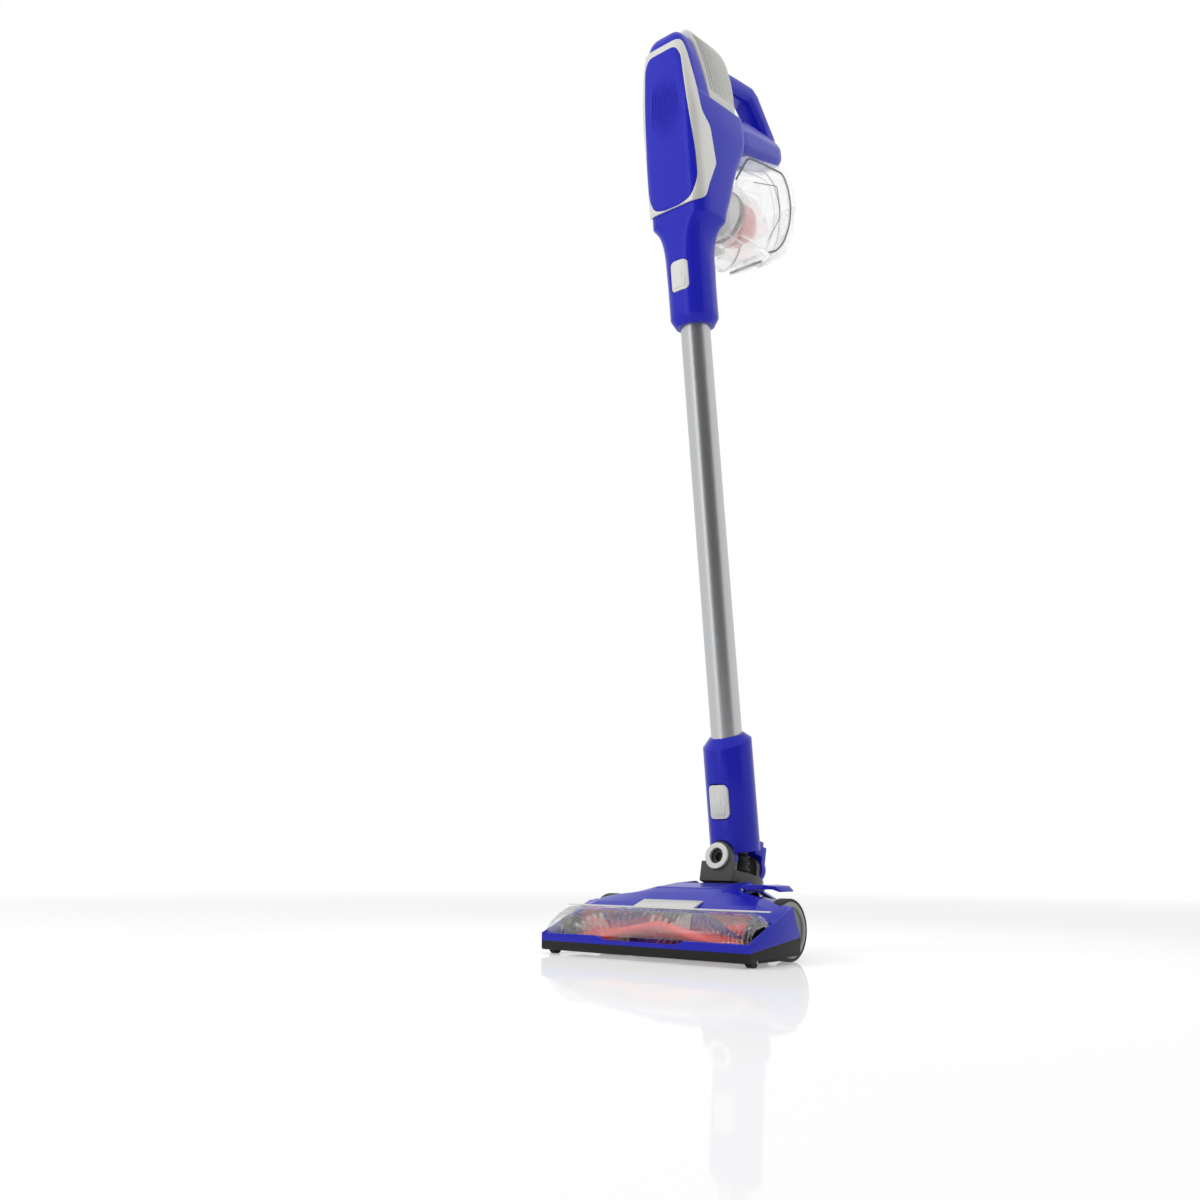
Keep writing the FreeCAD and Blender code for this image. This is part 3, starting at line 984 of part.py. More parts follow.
def make_insides():
    """Suction motor, fan, battery, control board and charging socket."""
    can = rod("motor_can", "Z", ("0", "motor_back", "body_shoulder-24"), "motor_radius", "80")
    flange = rod("motor_flange", "Z", ("0", "motor_back", "body_shoulder"), "motor_radius+2.5", "3")
    shaft_room = rod("motor_shaft_room", "Z", ("0", "motor_back", "body_shoulder-25"), "3+running_gap", "31")
    room = rod("motor_room", "Z", ("0", "motor_back", "body_shoulder-22"), "motor_radius-motor_wall", "76")
    vents = [rod("motor_vent_across", "X", ("-motor_radius", "motor_back", "body_shoulder+42"), "4",
                 "2*motor_radius"),
             rod("motor_vent_through", "Y", ("0", "motor_back-motor_radius", "body_shoulder+42"), "4",
                 "2*motor_radius")]
    sub_part("suction_motor", cut("motor_whole", fuse("motor_body", can, flange), shaft_room, room, *vents),
             HAND)
    disc = rod("fan_disc", "Z", ("0", "motor_back", "body_shoulder-46"), "fan_radius", "3")
    nave = rod("fan_nave", "Z", ("0", "motor_back", "body_shoulder-46"), "7", "18")
    shaft = rod("fan_shaft", "Z", ("0", "motor_back", "body_shoulder-46"), "3", "50")
    blades = []
    for number in range(9):
        turn = Placement(point(("0", "motor_back", "0")), Rotation(Vector(0, 0, 1), 40 * number))
        blades.append(block("fan_blade_%d" % number, ("5", "-0.8", "body_shoulder-44"),
                            ("fan_radius-1", "0.8", "body_shoulder-30"), turn))
    sub_part("suction_fan", fuse("fan_whole", disc, nave, shaft, *blades), HAND)
    battery = block("battery_block", ("-20", "-body_front+3.3", "100"), ("20", "-4", "212"))
    sub_part("battery_pack", battery, HAND)
    board = block("board_plate", ("-17", "-10", "222"), ("17", "-8.4", "277"))
    posts = [block("board_post_%d" % number, (low, "-body_front+4", height), (high, "-10", top))
             for number, (low, high, height, top) in enumerate((
                 ("-15", "-11", "226", "230"), ("11", "15", "226", "230"), ("-4", "4", "268", "272")))]
    sub_part("control_board", fuse("board_whole", board, *posts), HAND)
    barrel = rod("jack_barrel", "X", ("-body_half+1.2", "60", "193"), "jack_radius", "jack_depth+2")
    bore = rod("jack_bore", "X", ("-body_half+1.2", "60", "193"), "jack_bore", "jack_depth")
    sub_part("charging_socket", cut("jack_whole", barrel, bore), HAND)


def make_separator():
    """Cone, ring and inner filter cup that stay on the hand unit when the dust cup comes off."""
    axis = ("0", "22", "separator_height")
    solid = cone("separator_cone_body", "Y", axis, "separator_ring-6", "separator_ring-1", "50")
    room = cone("separator_cone_room", "Y", axis, "separator_ring-9", "separator_ring-4", "50")
    wall = tower("separator_wall", LOWER_ROWS)
    sub_part("separator_cone", cut("separator_cone_whole", solid, room, wall), HAND)
    ring = rod("separator_ring_disc", "Y", ("0", "72", "separator_height"), "separator_ring", "7")
    ring_room = rod("separator_ring_room", "Y", ("0", "72", "separator_height"), "filter_radius-6", "7")
    sub_part("separator_ring", cut("separator_ring_whole", ring, ring_room), HAND)
    cup = rod("filter_can", "Y", ("0", "79", "separator_height"), "filter_radius", "filter_length")
    nose = cone("filter_nose", "Y", ("0", "79+filter_length", "separator_height"), "filter_radius",
                "filter_radius-15", "24")
    room = rod("filter_room", "Y", ("0", "79", "separator_height"), "filter_radius-3", "filter_length-2")
    sub_part("inner_filter", cut("filter_whole", fuse("filter_body", cup, nose), room), HAND)


HINGE = ("hinge_back+6", "cup_floor-knuckle_radius-part_gap")


def make_cup():
    """Clear dust cup with its bottom door, hinge pin and latch."""
    def blend(amount):
        """Side outline of the cup, amount of the way from its middle to its flat sides."""
        middle = [
            ("cup_front", "86"), ("96.5", "171"), ("208", "201"), ("cup_back-9", "187"), ("cup_back", "154"),
            ("cup_back-14", "106"), ("192", "66"), ("160", "cup_floor+3"), ("134", "cup_floor"),
            ("cup_front", "cup_floor"),
        ]
        flat = [
            ("cup_front", "86"), ("94", "165"), ("180", "175"), ("192", "158"), ("196", "134"),
            ("188", "104"), ("168", "72"), ("146", "52"), ("126", "cup_floor+1"),
            ("cup_front", "cup_floor+1"),
        ]
        mix = "(%%s)*%g+(%%s)*%g" % (1 - amount, amount)
        return [(mix % (back, flat_back), mix % (up, flat_up))
                for (back, up), (flat_back, flat_up) in zip(middle, flat)]

    def inside(corners):
        """The same outline one wall smaller, but open to the front."""
        shifts = [
            ("-30", "-20"), ("-30", "-14"), ("-3", "-cup_wall"), ("-cup_wall", "-1"), ("-cup_wall", "0"),
            ("-cup_wall", "1"), ("-1.5", "cup_wall"), ("-1", "cup_wall"), ("-1", "cup_wall"),
            ("-30", "cup_wall"),
        ]
        return [("%s+(%s)" % (back, step_back), "%s+(%s)" % (up, step_up))
                for (back, up), (step_back, step_up) in zip(corners, shifts)]

    stations = [("-cup_half", 1.0), ("-cup_half+5", 0.45), ("-cup_half+17", 0.0), ("cup_half-17", 0.0),
                ("cup_half-5", 0.45), ("cup_half", 1.0)]
    outer = skin("cup_outer", [("YZ", across, blend(amount)) for across, amount in stations])
    inner_at = ["-cup_half+cup_wall", "-cup_half+5+cup_wall/2", "-cup_half+17", "cup_half-17",
                "cup_half-5-cup_wall/2", "cup_half-cup_wall"]
    inner = skin("cup_inner", [
        ("YZ", across, inside(blend(amount))) for across, (_, amount) in zip(inner_at, stations)])
    knuckles = []
    for side, sign in SIDES:
        low, high = span_x(sign, "14.3", "24")
        knuckle = rod("cup_knuckle_" + side, "X", (low,) + HINGE, "knuckle_radius", "9.7")
        web = block("cup_knuckle_web_" + side, (low, "hinge_back+4", "cup_floor-knuckle_radius-part_gap"),
                    (high, "hinge_back+10", "cup_floor+3"))
        knuckles += [knuckle, web]
    pin_hole = rod("cup_pin_hole", "X", ("-30",) + HINGE, "hinge_pin_radius", "60")
    hatch = block("cup_hatch", ("-cup_half+9", "cup_front-5", "cup_floor-5"),
                  ("cup_half-9", "hinge_back-2", "cup_floor+8"))
    cup = cut("cup_hollow", outer, inner, hatch)
    sub_part("dust_cup", cut("cup_whole", fuse("cup_hinged", cup, *knuckles), pin_hole), HAND)
    plate = block("door_plate", ("-cup_half+6", "cup_front+1", "cup_floor-part_gap-door_thickness"),
                  ("cup_half-6", "hinge_back", "cup_floor-part_gap"))
    leaf = rod("door_knuckle", "X", ("-14",) + HINGE, "knuckle_radius", "28")
    web = block("door_web", ("-14", "hinge_back-1", "cup_floor-part_gap-door_thickness"),
                ("14", "hinge_back+6", "cup_floor-part_gap"))
    pin_room = rod("door_pin_room", "X", ("-15",) + HINGE, "hinge_pin_radius+running_gap", "30")
    sub_part("cup_door", cut("door_whole", fuse("door_body", plate, leaf, web), pin_room), HAND)
    sub_part("cup_door_pin", rod("door_pin_rod", "X", ("-24",) + HINGE, "hinge_pin_radius", "48"), HAND)
    tongue = slab("latch_tongue", "YZ", "-9", "18", [
        ("29", "cup_floor-4"), ("cup_front+30", "cup_floor-8"), ("cup_front+32", "cup_floor-5"),
        ("cup_front-0.3", "cup_floor-3"), ("cup_front-0.3", "cup_floor+12"), ("31", "cup_floor+10"),
    ])
    sub_part("cup_latch", tongue, HAND)


# ---------------------------------------------------------------------------------------------------
# Build, place, check and write
# ---------------------------------------------------------------------------------------------------
for make in (make_base, make_cover, make_window, make_chamber, make_band, make_brush, make_drive, make_duct,
             make_wheels, make_pedal, make_yoke, make_hose, make_neck, make_wand, make_body,
             make_exhaust_cover, make_handle, make_insides, make_separator, make_cup):
    make()
doc.recompute()

whole = FreeCAD.BoundBox()
for piece in SUB_PARTS.values():
    whole.add(piece.Shape.BoundBox)
shift = Placement(Vector(-whole.Center.x, -whole.Center.y, -whole.ZMin), Rotation())
for piece in SUB_PARTS.values():
    piece.Placement = shift * piece.Placement
doc.recompute()

for item in doc.Objects:
    if "Invalid" in item.State or "Error" in item.State:
        raise RuntimeError("%s failed: %s" % (item.Name, item.State))
os.makedirs("parts", exist_ok=True)
for label, piece in SUB_PARTS.items():
    if piece.Shape.isNull() or not piece.Shape.isValid():
        raise RuntimeError("%s has no valid shape" % label)
    piece.Shape.exportStep("parts/%s.step" % label)

whole = FreeCAD.BoundBox()
for piece in SUB_PARTS.values():
    whole.add(piece.Shape.BoundBox)
print("pieces %d, size %.1f x %.1f x %.1f" % (len(SUB_PARTS), whole.XLength, whole.YLength, whole.ZLength))


def report_place(name, frame, place):
    """Print where a point of a frame ends up, for the record's joints and mounts."""
    spot = (shift * frame).multVec(point(place))
    print("PLACE %s %.4f %.4f %.4f" % (name, spot.x, spot.y, spot.z))


def report_axis(name, frame, heading):
    turned = frame.Rotation.multVec(Vector(*heading))
    print("AXIS %s %.6f %.6f %.6f" % (name, turned.x, turned.y, turned.z))


report_place("brush", FLOOR, ("0", "brush_back", "brush_height"))
report_place("brush_motor", FLOOR, ("0", "brush_motor_back", "brush_motor_height"))
report_place("wheel", FLOOR, ("wheel_inner+wheel_width/2", "wheel_back", "wheel_radius"))
report_place("roller", FLOOR, ("roller_centre", "roller_back", "roller_radius"))
report_place("pedal", FLOOR, ("pedal_root", PEDAL_FRONT + "+17", "pedal_height"))
report_place("pitch", SWIVEL, ("0", "-pitch_ahead", "-pitch_drop"))
report_place("swivel", SWIVEL, ("0", "0", "0"))
report_axis("swivel", SWIVEL, (0, 1, 0))
report_axis("wand_up", WAND, (0, 0, 1))
report_axis("wand_back", WAND, (0, 1, 0))
report_place("trigger", HAND, ("0", "123", "280"))
report_place("door", HAND, ("0",) + HINGE)
report_place("fan", HAND, ("0", "motor_back", "body_shoulder-46"))
report_place("jack", HAND, ("-body_half+1.2", "60", "193"))
report_place("glide", FLOOR, ("arm_inner+arm_thickness/2", "arm_end-8", "0"))
report_place("wand_zero", WAND, ("0", "0", "0"))
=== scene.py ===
"""Looks of the cordless stick vacuum cleaner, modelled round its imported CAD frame."""
import bmesh
import bpy
import json
import math
import random
from mathutils import Matrix, Vector
from mathutils.kdtree import KDTree


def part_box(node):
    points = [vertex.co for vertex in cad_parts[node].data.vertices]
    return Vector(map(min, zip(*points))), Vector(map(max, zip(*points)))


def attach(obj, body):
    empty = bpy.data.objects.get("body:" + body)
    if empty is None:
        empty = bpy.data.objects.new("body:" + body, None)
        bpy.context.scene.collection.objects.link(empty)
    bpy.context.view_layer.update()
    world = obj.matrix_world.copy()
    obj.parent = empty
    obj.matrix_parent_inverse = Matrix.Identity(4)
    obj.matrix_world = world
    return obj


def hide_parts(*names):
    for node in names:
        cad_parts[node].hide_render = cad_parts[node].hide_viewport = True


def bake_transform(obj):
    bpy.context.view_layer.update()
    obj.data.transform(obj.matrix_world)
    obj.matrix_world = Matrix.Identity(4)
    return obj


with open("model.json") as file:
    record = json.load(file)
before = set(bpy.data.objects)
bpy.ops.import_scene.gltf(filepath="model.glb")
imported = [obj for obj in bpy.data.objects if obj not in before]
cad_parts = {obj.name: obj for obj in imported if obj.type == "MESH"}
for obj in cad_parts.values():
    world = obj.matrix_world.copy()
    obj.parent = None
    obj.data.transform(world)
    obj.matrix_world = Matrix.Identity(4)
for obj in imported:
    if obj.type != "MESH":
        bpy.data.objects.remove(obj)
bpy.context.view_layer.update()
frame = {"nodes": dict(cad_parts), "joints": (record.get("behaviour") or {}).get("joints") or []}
scene = bpy.context.scene
nodes = frame["nodes"]
joints = {joint["name"]: joint for joint in frame["joints"]}

# ---------------------------------------------------------------------------------------------------
# Places: each piece is drawn in millimetres in the frame of its group, then laid into the object.
# ---------------------------------------------------------------------------------------------------
MM = 0.001
UP = Vector(joints["wand_pull"]["axis"])
BACK = Vector(joints["neck_button_press"]["axis"])
SWIVEL_SPOT = Vector(joints["neck_roll"]["pos_m"])
RIGHT = Vector((1, 0, 0))
FRONT_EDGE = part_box("nozzle_base")[0].y
TUBE_FOOT = 8.5 * MM
TUBE_TOP = 712


def framing(spot, back, up):
    """Matrix that takes millimetres across, back and up to metres in the object."""
    turn = Matrix((RIGHT, back, up)).transposed().to_4x4()
    return Matrix.Translation(spot) @ turn @ Matrix.Scale(MM, 4)


FLOOR = framing(Vector((0, FRONT_EDGE, 0)), Vector((0, 1, 0)), Vector((0, 0, 1)))
WAND = framing(SWIVEL_SPOT + Vector((0, 0, TUBE_FOOT)), BACK, UP)
HAND = WAND @ Matrix.Translation((0, 0, TUBE_TOP))


# ---------------------------------------------------------------------------------------------------
# Modelling helpers
# ---------------------------------------------------------------------------------------------------
def only(obj):
    """Make one object the selected and active one."""
    bpy.ops.object.select_all(action="DESELECT")
    obj.select_set(True)
    bpy.context.view_layer.objects.active = obj
    return obj


def primitive(kind, name, **size):
    bpy.ops.object.select_all(action="DESELECT")
    getattr(bpy.ops.mesh, "primitive_%s_add" % kind)(**size)
    obj = bpy.context.object
    obj.name = name
    bpy.ops.object.transform_apply(location=True, rotation=True, scale=True)
    return obj


def modify(obj, kind, **settings):
    """Add a modifier and apply it."""
    only(obj)
    item = obj.modifiers.new(kind.lower(), kind)
    for key, value in settings.items():
        setattr(item, key, value)
    bpy.ops.object.modifier_apply(modifier=item.name)
    return obj


def finder(places):
    """Search tree that gives the number of the nearest place."""
    tree = KDTree(len(places))
    for number, spot in enumerate(places):
        tree.insert(spot, number)
    tree.balance()
    return tree


def loft(name, rings, caps=True, closed=True):
    """Skin through rings: an outline extruded ring after ring, each of its points moved into place."""
    bpy.ops.object.select_all(action="DESELECT")
    bpy.ops.mesh.primitive_circle_add(vertices=len(rings[0]), radius=1000)
    obj = bpy.context.object
    obj.name = name
    bpy.ops.object.mode_set(mode="EDIT")
    bpy.ops.mesh.select_mode(type="VERT")
    mesh = bmesh.from_edit_mesh(obj.data)
    mesh.verts.ensure_lookup_table()
    order = finder([vert.co for vert in mesh.verts])
    if not closed:
        ends = {mesh.verts[0], mesh.verts[-1]}
        for edge in mesh.edges:
            edge.select_set(set(edge.verts) == ends)
        bpy.ops.mesh.delete(type="EDGE_FACE")
        bpy.ops.mesh.select_all(action="SELECT")
        mesh = bmesh.from_edit_mesh(obj.data)
    for number, ring in enumerate(rings):
        if number:
            bpy.ops.mesh.extrude_region_move()
            mesh = bmesh.from_edit_mesh(obj.data)
        for vert in [vert for vert in mesh.verts if vert.select]:
            vert.co = ring[order.find(vert.co)[1]]
        order = finder(ring)
        bmesh.update_edit_mesh(obj.data)
    bpy.ops.mesh.select_all(action="SELECT")
    if caps:
        bpy.ops.mesh.fill_holes(sides=0)
        bpy.ops.mesh.select_all(action="SELECT")
    bpy.ops.mesh.normals_make_consistent(inside=False)
    bpy.ops.object.mode_set(mode="OBJECT")
    return obj


def rounded(corners, radius, steps=4, closed=True):
    """Outline with its corners rounded; a corner may bring its own radius as a third number."""
    points = []
    count = len(corners)
    for number, corner in enumerate(corners):
        spot = Vector(corner[:2])
        if not closed and number in (0, count - 1):
            points.append(tuple(spot))
            continue
        reach = corner[2] if len(corner) > 2 else radius
        before = Vector(corners[number - 1][:2]) - spot
        after = Vector(corners[(number + 1) % count][:2]) - spot
        reach = min(reach, before.length * 0.49, after.length * 0.49)
        if reach < 0.01:
            points.append(tuple(spot))
            continue
        start, end = spot + before.normalized() * reach, spot + after.normalized() * reach
        for step in range(steps + 1):
            part = step / steps
            points.append(tuple(start * (1 - part) ** 2 + spot * 2 * part * (1 - part) + end * part ** 2))
    return points


def between(rows, steps):
    """Rows of numbers made finer: the first number runs evenly, the others follow smoothly."""
    def slope(column, at):
        if at in (0, len(rows) - 1):
            return 0.0 if len(rows) < 3 else None
        low = (rows[at][column] - rows[at - 1][column]) / (rows[at][0] - rows[at - 1][0])
        high = (rows[at + 1][column] - rows[at][column]) / (rows[at + 1][0] - rows[at][0])
        return 0.0 if low * high <= 0 else 2 * low * high / (low + high)

    fine = []
    for at in range(len(rows) - 1):
        one, two = rows[at], rows[at + 1]
        span = two[0] - one[0]
        for step in range(steps):
            part = step / steps
            row = [one[0] + span * part]
            for column in range(1, len(one)):
                straight = (two[column] - one[column]) / span
                first, last = slope(column, at), slope(column, at + 1)
                first = straight if first is None else first
                last = straight if last is None else last
                row.append((2 * part ** 3 - 3 * part ** 2 + 1) * one[column]
                           + (part ** 3 - 2 * part ** 2 + part) * span * first
                           + (3 * part ** 2 - 2 * part ** 3) * two[column]
                           + (part ** 3 - part ** 2) * span * last)
            fine.append(row)
    return fine + [list(rows[-1])]


def plan(height, half, front, back, front_corner, back_corner, steps=5):
    """Rounded rectangle seen from above at a height."""
    corners = [(half, front, front_corner), (half, back, back_corner), (-half, back, back_corner),
               (-half, front, front_corner)]
    return [(across, depth, height) for across, depth in rounded(corners, 1, steps)]


def prism(name, outline, plane, low, high):
    """Outline pushed from low to high: side outlines along X, front outlines along Y, plans along Z."""
    place = {"side": lambda a, b, at: (at, a, b), "front": lambda a, b, at: (a, at, b),
             "plan": lambda a, b, at: (a, b, at)}[plane]
    return loft(name, [[place(a, b, at) for a, b in outline] for at in (low, high)])


def carve(obj, tool, how="DIFFERENCE"):
    """Cut a piece with another one, join them or keep what they share; the tool goes away."""
    modify(obj, "BOOLEAN", object=tool, operation=how, solver="EXACT")
    bpy.data.objects.remove(tool)
    return obj


def join(name, *pieces):
    only(pieces[0])
    for piece in pieces:
        piece.select_set(True)
    bpy.ops.object.join()
    bpy.context.object.name = name
    return bpy.context.object


def soften(obj, width, segments=2, angle=35):
    """Weld what the cuts left, and round the edges."""
    modify(obj, "WELD", merge_threshold=0.01)
    modify(obj, "BEVEL", width=width, segments=segments, limit_method="ANGLE",
           angle_limit=math.radians(angle), use_clamp_overlap=True)
    return obj


def place(obj, frame_matrix, body, material, slot, *replaced, angle=35):
    """Lay a finished piece into the object, give it its surface and tie it to its body."""
    only(obj)
    obj.data.transform(frame_matrix)
    obj.data.materials.clear()
    obj.data.materials.append(material)
    bpy.ops.object.shade_smooth_by_angle(angle=math.radians(angle))
    if body:
        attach(obj, body)
    if replaced:
        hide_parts(*replaced)
    return obj


# ---------------------------------------------------------------------------------------------------
# Surfaces
# ---------------------------------------------------------------------------------------------------
def linear(code):
    """Hex colour as the renderer's linear numbers."""
    parts = [int(code[at:at + 2], 16) / 255 for at in (1, 3, 5)]
    return tuple(p / 12.92 if p <= 0.04045 else ((p + 0.055) / 1.055) ** 2.4 for p in parts) + (1,)


def add(tree, kind, settings=None, links=None):
    """Add a node with its settings and links; names of inputs and of properties both work."""
    item = tree.nodes.new(kind)
    for key, value in (settings or {}).items():
        if isinstance(key, str) and hasattr(item, key):
            setattr(item, key, value)
        else:
            item.inputs[key].default_value = value
    for key, source in (links or {}).items():
        tree.links.new(source, item.inputs[key])
    return item


def surface(name, light, dark, grain, rough, bump=0.0, stretch=(1, 1, 1), **fixed):
    """Moulded or worked surface: colour, gloss and relief that vary with a grain of so many millimetres."""
    material = bpy.data.materials.new(name)
    material.use_nodes = True
    tree = material.node_tree
    shader = tree.nodes["Principled BSDF"]
    spot = add(tree, "ShaderNodeTexCoord")
    mapped = add(tree, "ShaderNodeMapping", {"Scale": stretch}, {"Vector": spot.outputs["Object"]})
    noise = add(tree, "ShaderNodeTexNoise", {"Scale": 1 / (grain * MM), "Detail": 3.0, "Roughness": 0.6},
                {"Vector": mapped.outputs[0]})
    tint = add(tree, "ShaderNodeMix", {"data_type": "RGBA", 6: linear(dark), 7: linear(light)},
               {0: noise.outputs["Fac"]})
    tree.links.new(tint.outputs[2], shader.inputs["Base Color"])
    gloss = add(tree, "ShaderNodeMapRange", {"From Min": 0.3, "From Max": 0.7, "To Min": rough[0],
                                             "To Max": rough[1]}, {"Value": noise.outputs["Fac"]})
    tree.links.new(gloss.outputs[0], shader.inputs["Roughness"])
    if bump:
        relief = add(tree, "ShaderNodeBump", {"Strength": 1.0, "Distance": bump * MM},
                     {"Height": noise.outputs["Fac"]})
        tree.links.new(relief.outputs[0], shader.inputs["Normal"])
    for key, value in fixed.items():
        shader.inputs[key.replace("_", " ")].default_value = value
    return material


# Candy blue ABS: metal flake under a gloss clear coat, so it is bright where it faces a lamp.
BLUE = surface("candy_blue_abs", "#1D21C2", "#161AAC", 0.25, (0.26, 0.36), 0.0, Metallic=0.05,
               Specular_IOR_Level=0.22, Coat_Weight=0.12, Coat_Roughness=0.1)
# Silver-painted ABS: fine flake, soft gloss.
SILVER = surface("silver_painted_abs", "#E2E2DE", "#D2D2CE", 0.3, (0.28, 0.4), 0.0, Metallic=0.35)
# Satin anodised aluminium: drawn tube, so its grain runs lengthwise.
TUBE = surface("satin_anodised_aluminium", "#C9CACB", "#B4B5B7", 0.4, (0.3, 0.42), 0.01,
               stretch=(1, 1, 0.02), Metallic=1.0)
# Light grey ABS of buttons and latch: fine moulded texture.
PALE = surface("pale_grey_abs", "#E6E6E2", "#DCDCD8", 0.4, (0.3, 0.42), 0.01)
# Grey ABS with a silver tone of the exhaust cover.
GREY = surface("silver_grey_abs", "#DCDCD8", "#CECECA", 0.35, (0.32, 0.44), 0.01)
# Black ABS of the sole: spark-eroded texture.
BLACK = surface("textured_black_abs", "#1C1D1A", "#121310", 0.35, (0.42, 0.6), 0.03,
                Specular_IOR_Level=0.25)
# Dark grey nylon of the yoke.
DARK = surface("dark_grey_nylon", "#464644", "#3A3A38", 0.4, (0.34, 0.5), 0.02)
# Black elastomer of hose, tyres and belt.
RUBBER = surface("black_elastomer", "#1B1B1B", "#121212", 0.5, (0.5, 0.7), 0.03)
# Coral red glossy ABS of the brush vanes.
CORAL = surface("coral_red_abs", "#EE4036", "#DA3029", 1.2, (0.22, 0.34), 0.0, Coat_Weight=0.4,
                Coat_Roughness=0.08)
# Nylon bristle: streaks along the filaments.
WHITE_NYLON = surface("white_nylon_bristle", "#F4F3EE", "#C9C6C0", 0.35, (0.45, 0.65), 0.05)
PURPLE_NYLON = surface("purple_nylon_bristle", "#6A34A0", "#3E1A6E", 0.35, (0.45, 0.65), 0.05)
# Turned steel of pins and axles.
STEEL = surface("turned_steel", "#BDBDBD", "#9E9E9E", 0.3, (0.2, 0.34), 0.005, Metallic=1.0)
# Zinc-plated motor can.
PLATED = surface("zinc_plated_can", "#8E8E90", "#6E6E72", 1.5, (0.3, 0.5), 0.0, Metallic=1.0)
# Grey moulded hub.
HUB = surface("warm_grey_abs", "#A4A69A", "#90928A", 0.5, (0.35, 0.5), 0.02)
# Slate-coloured chamber wall behind the brush.
SLATE = surface("slate_grey_abs", "#4A5056", "#363C42", 0.8, (0.3, 0.5), 0.02)
# Solder-mask green of the control board.
BOARD = surface("green_board_laminate", "#1F5A34", "#17462A", 0.8, (0.3, 0.45), 0.02)
# Clear polycarbonate: moulded, faintly uneven, so lines behind it waver.
CLEAR = surface("clear_polycarbonate", "#FFFFFF", "#F6F8F8", 14, (0.01, 0.05), 0.05,
                Transmission_Weight=1.0, IOR=1.585, Alpha=0.32, Specular_IOR_Level=0.35)
# Red-tinted polycarbonate of the inner cup.
TINTED = surface("red_tinted_polycarbonate", "#F0A8A4", "#E89590", 10, (0.05, 0.12), 0.03,
                 Transmission_Weight=0.8, IOR=1.585, Alpha=0.6)
# Painted shade: clear polycarbonate darkened to smoke grey for the thick edges of the clear cup, where the
# wall is seen end-on and looks dark by refraction.
PAINTED_EDGE_SHADE = surface("clear_polycarbonate_painted_dark_edge", "#6E7476", "#4C5254", 6, (0.04, 0.1), 0.02,
                Transmission_Weight=0.55, IOR=1.585)

CAD_SURFACES = {
    BLUE: ("nozzle_cover", "foot_pedal", "neck_collar", "hand_body", "front_panel", "handle_loop"),
    SILVER: ("window_band", "swivel_ring", "trim_frame", "handle_strip"),
    TUBE: ("wand_tube",),
    PALE: ("neck_button", "hand_button", "power_trigger", "cup_latch"),
    GREY: ("exhaust_cover", "separator_cone"),
    BLACK: ("nozzle_base", "brush_bearing_left", "brush_bearing_right", "suction_duct", "brush_pulley",
            "front_roller_left", "front_roller_right", "wand_sleeve_lower", "wand_sleeve_upper",
            "battery_pack", "charging_socket", "separator_ring", "suction_fan"),
    DARK: ("yoke", "swivel_pin_front"),
    RUBBER: ("flex_hose", "drive_belt", "wheel_tyre_left", "wheel_tyre_right"),
    CORAL: ("brush_core",),
    WHITE_NYLON: ("brush_tufts_white",),
    PURPLE_NYLON: ("brush_tufts_purple",),
    STEEL: ("wheel_axle_left", "wheel_axle_right", "roller_pin_left", "roller_pin_right", "pedal_pin",
            "brush_shaft", "motor_pulley", "pitch_pin_left", "pitch_pin_right", "swivel_pin_rear",
            "cup_door_pin"),
    PLATED: ("brush_motor", "suction_motor"),
    HUB: ("wheel_hub_left", "wheel_hub_right"),
    SLATE: ("brush_chamber",),
    BOARD: ("control_board",),
    CLEAR: ("brush_window", "dust_cup", "cup_door"),
    TINTED: ("inner_filter",),
}
EDGE_SIZE = {"nozzle_cover": 1.2, "nozzle_base": 0.8, "yoke": 1.4, "neck_collar": 1.2,
             "foot_pedal": 0.7, "window_band": 0.3, "swivel_ring": 0.8, "cup_latch": 0.8,
             "power_trigger": 1.2, "wheel_hub_left": 0.6, "wheel_hub_right": 0.6, "wheel_tyre_left": 1.0,
             "wheel_tyre_right": 1.0}
for material, names in CAD_SURFACES.items():
    for name in names:
        node = nodes[name]
        node.data.materials.clear()
        node.data.materials.append(material)
        if name in EDGE_SIZE:
            weld = node.modifiers.new("weld", "WELD")
            weld.merge_threshold = 0.005 * MM
            rim = node.modifiers.new("rim", "BEVEL")
            rim.width = EDGE_SIZE[name] * MM
            rim.segments = 3
            rim.limit_method = "ANGLE"
            rim.angle_limit = math.radians(28)
            rim.harden_normals = False
        only(node)
        bpy.ops.object.shade_smooth_by_angle(angle=math.radians(35))


# ---------------------------------------------------------------------------------------------------
# Studio
# ---------------------------------------------------------------------------------------------------
def camera():
    data = bpy.data.cameras.new("camera")
    data.lens = 34.5
    data.sensor_width = 36
    data.clip_start = 0.05
    data.clip_end = 60
    eye = bpy.data.objects.new("camera", data)
    scene.collection.objects.link(eye)
    forward = Vector((-0.633, 0.743, 0.219)).normalized()
    turn = forward.to_track_quat("-Z", "Y").to_matrix().to_4x4()
    roll = Matrix.Rotation(math.radians(0.35), 4, "Z")
    eye.matrix_world = Matrix.Translation((0.7544, -1.1102, 0.1011)) @ turn @ roll
    scene.camera = eye


def softbox(name, spot, aim, size, power, mirrored=False):
    data = bpy.data.lights.new(name, "AREA")
    data.shape = "RECTANGLE"
    data.size, data.size_y = size
    data.energy = power
    lamp = bpy.data.objects.new(name, data)
    scene.collection.objects.link(lamp)
    toward = (Vector(aim) - Vector(spot)).normalized()
    lamp.visible_glossy = mirrored
    lamp.matrix_world = Matrix.Translation(spot) @ toward.to_track_quat("-Z", "Y").to_matrix().to_4x4()
    return lamp


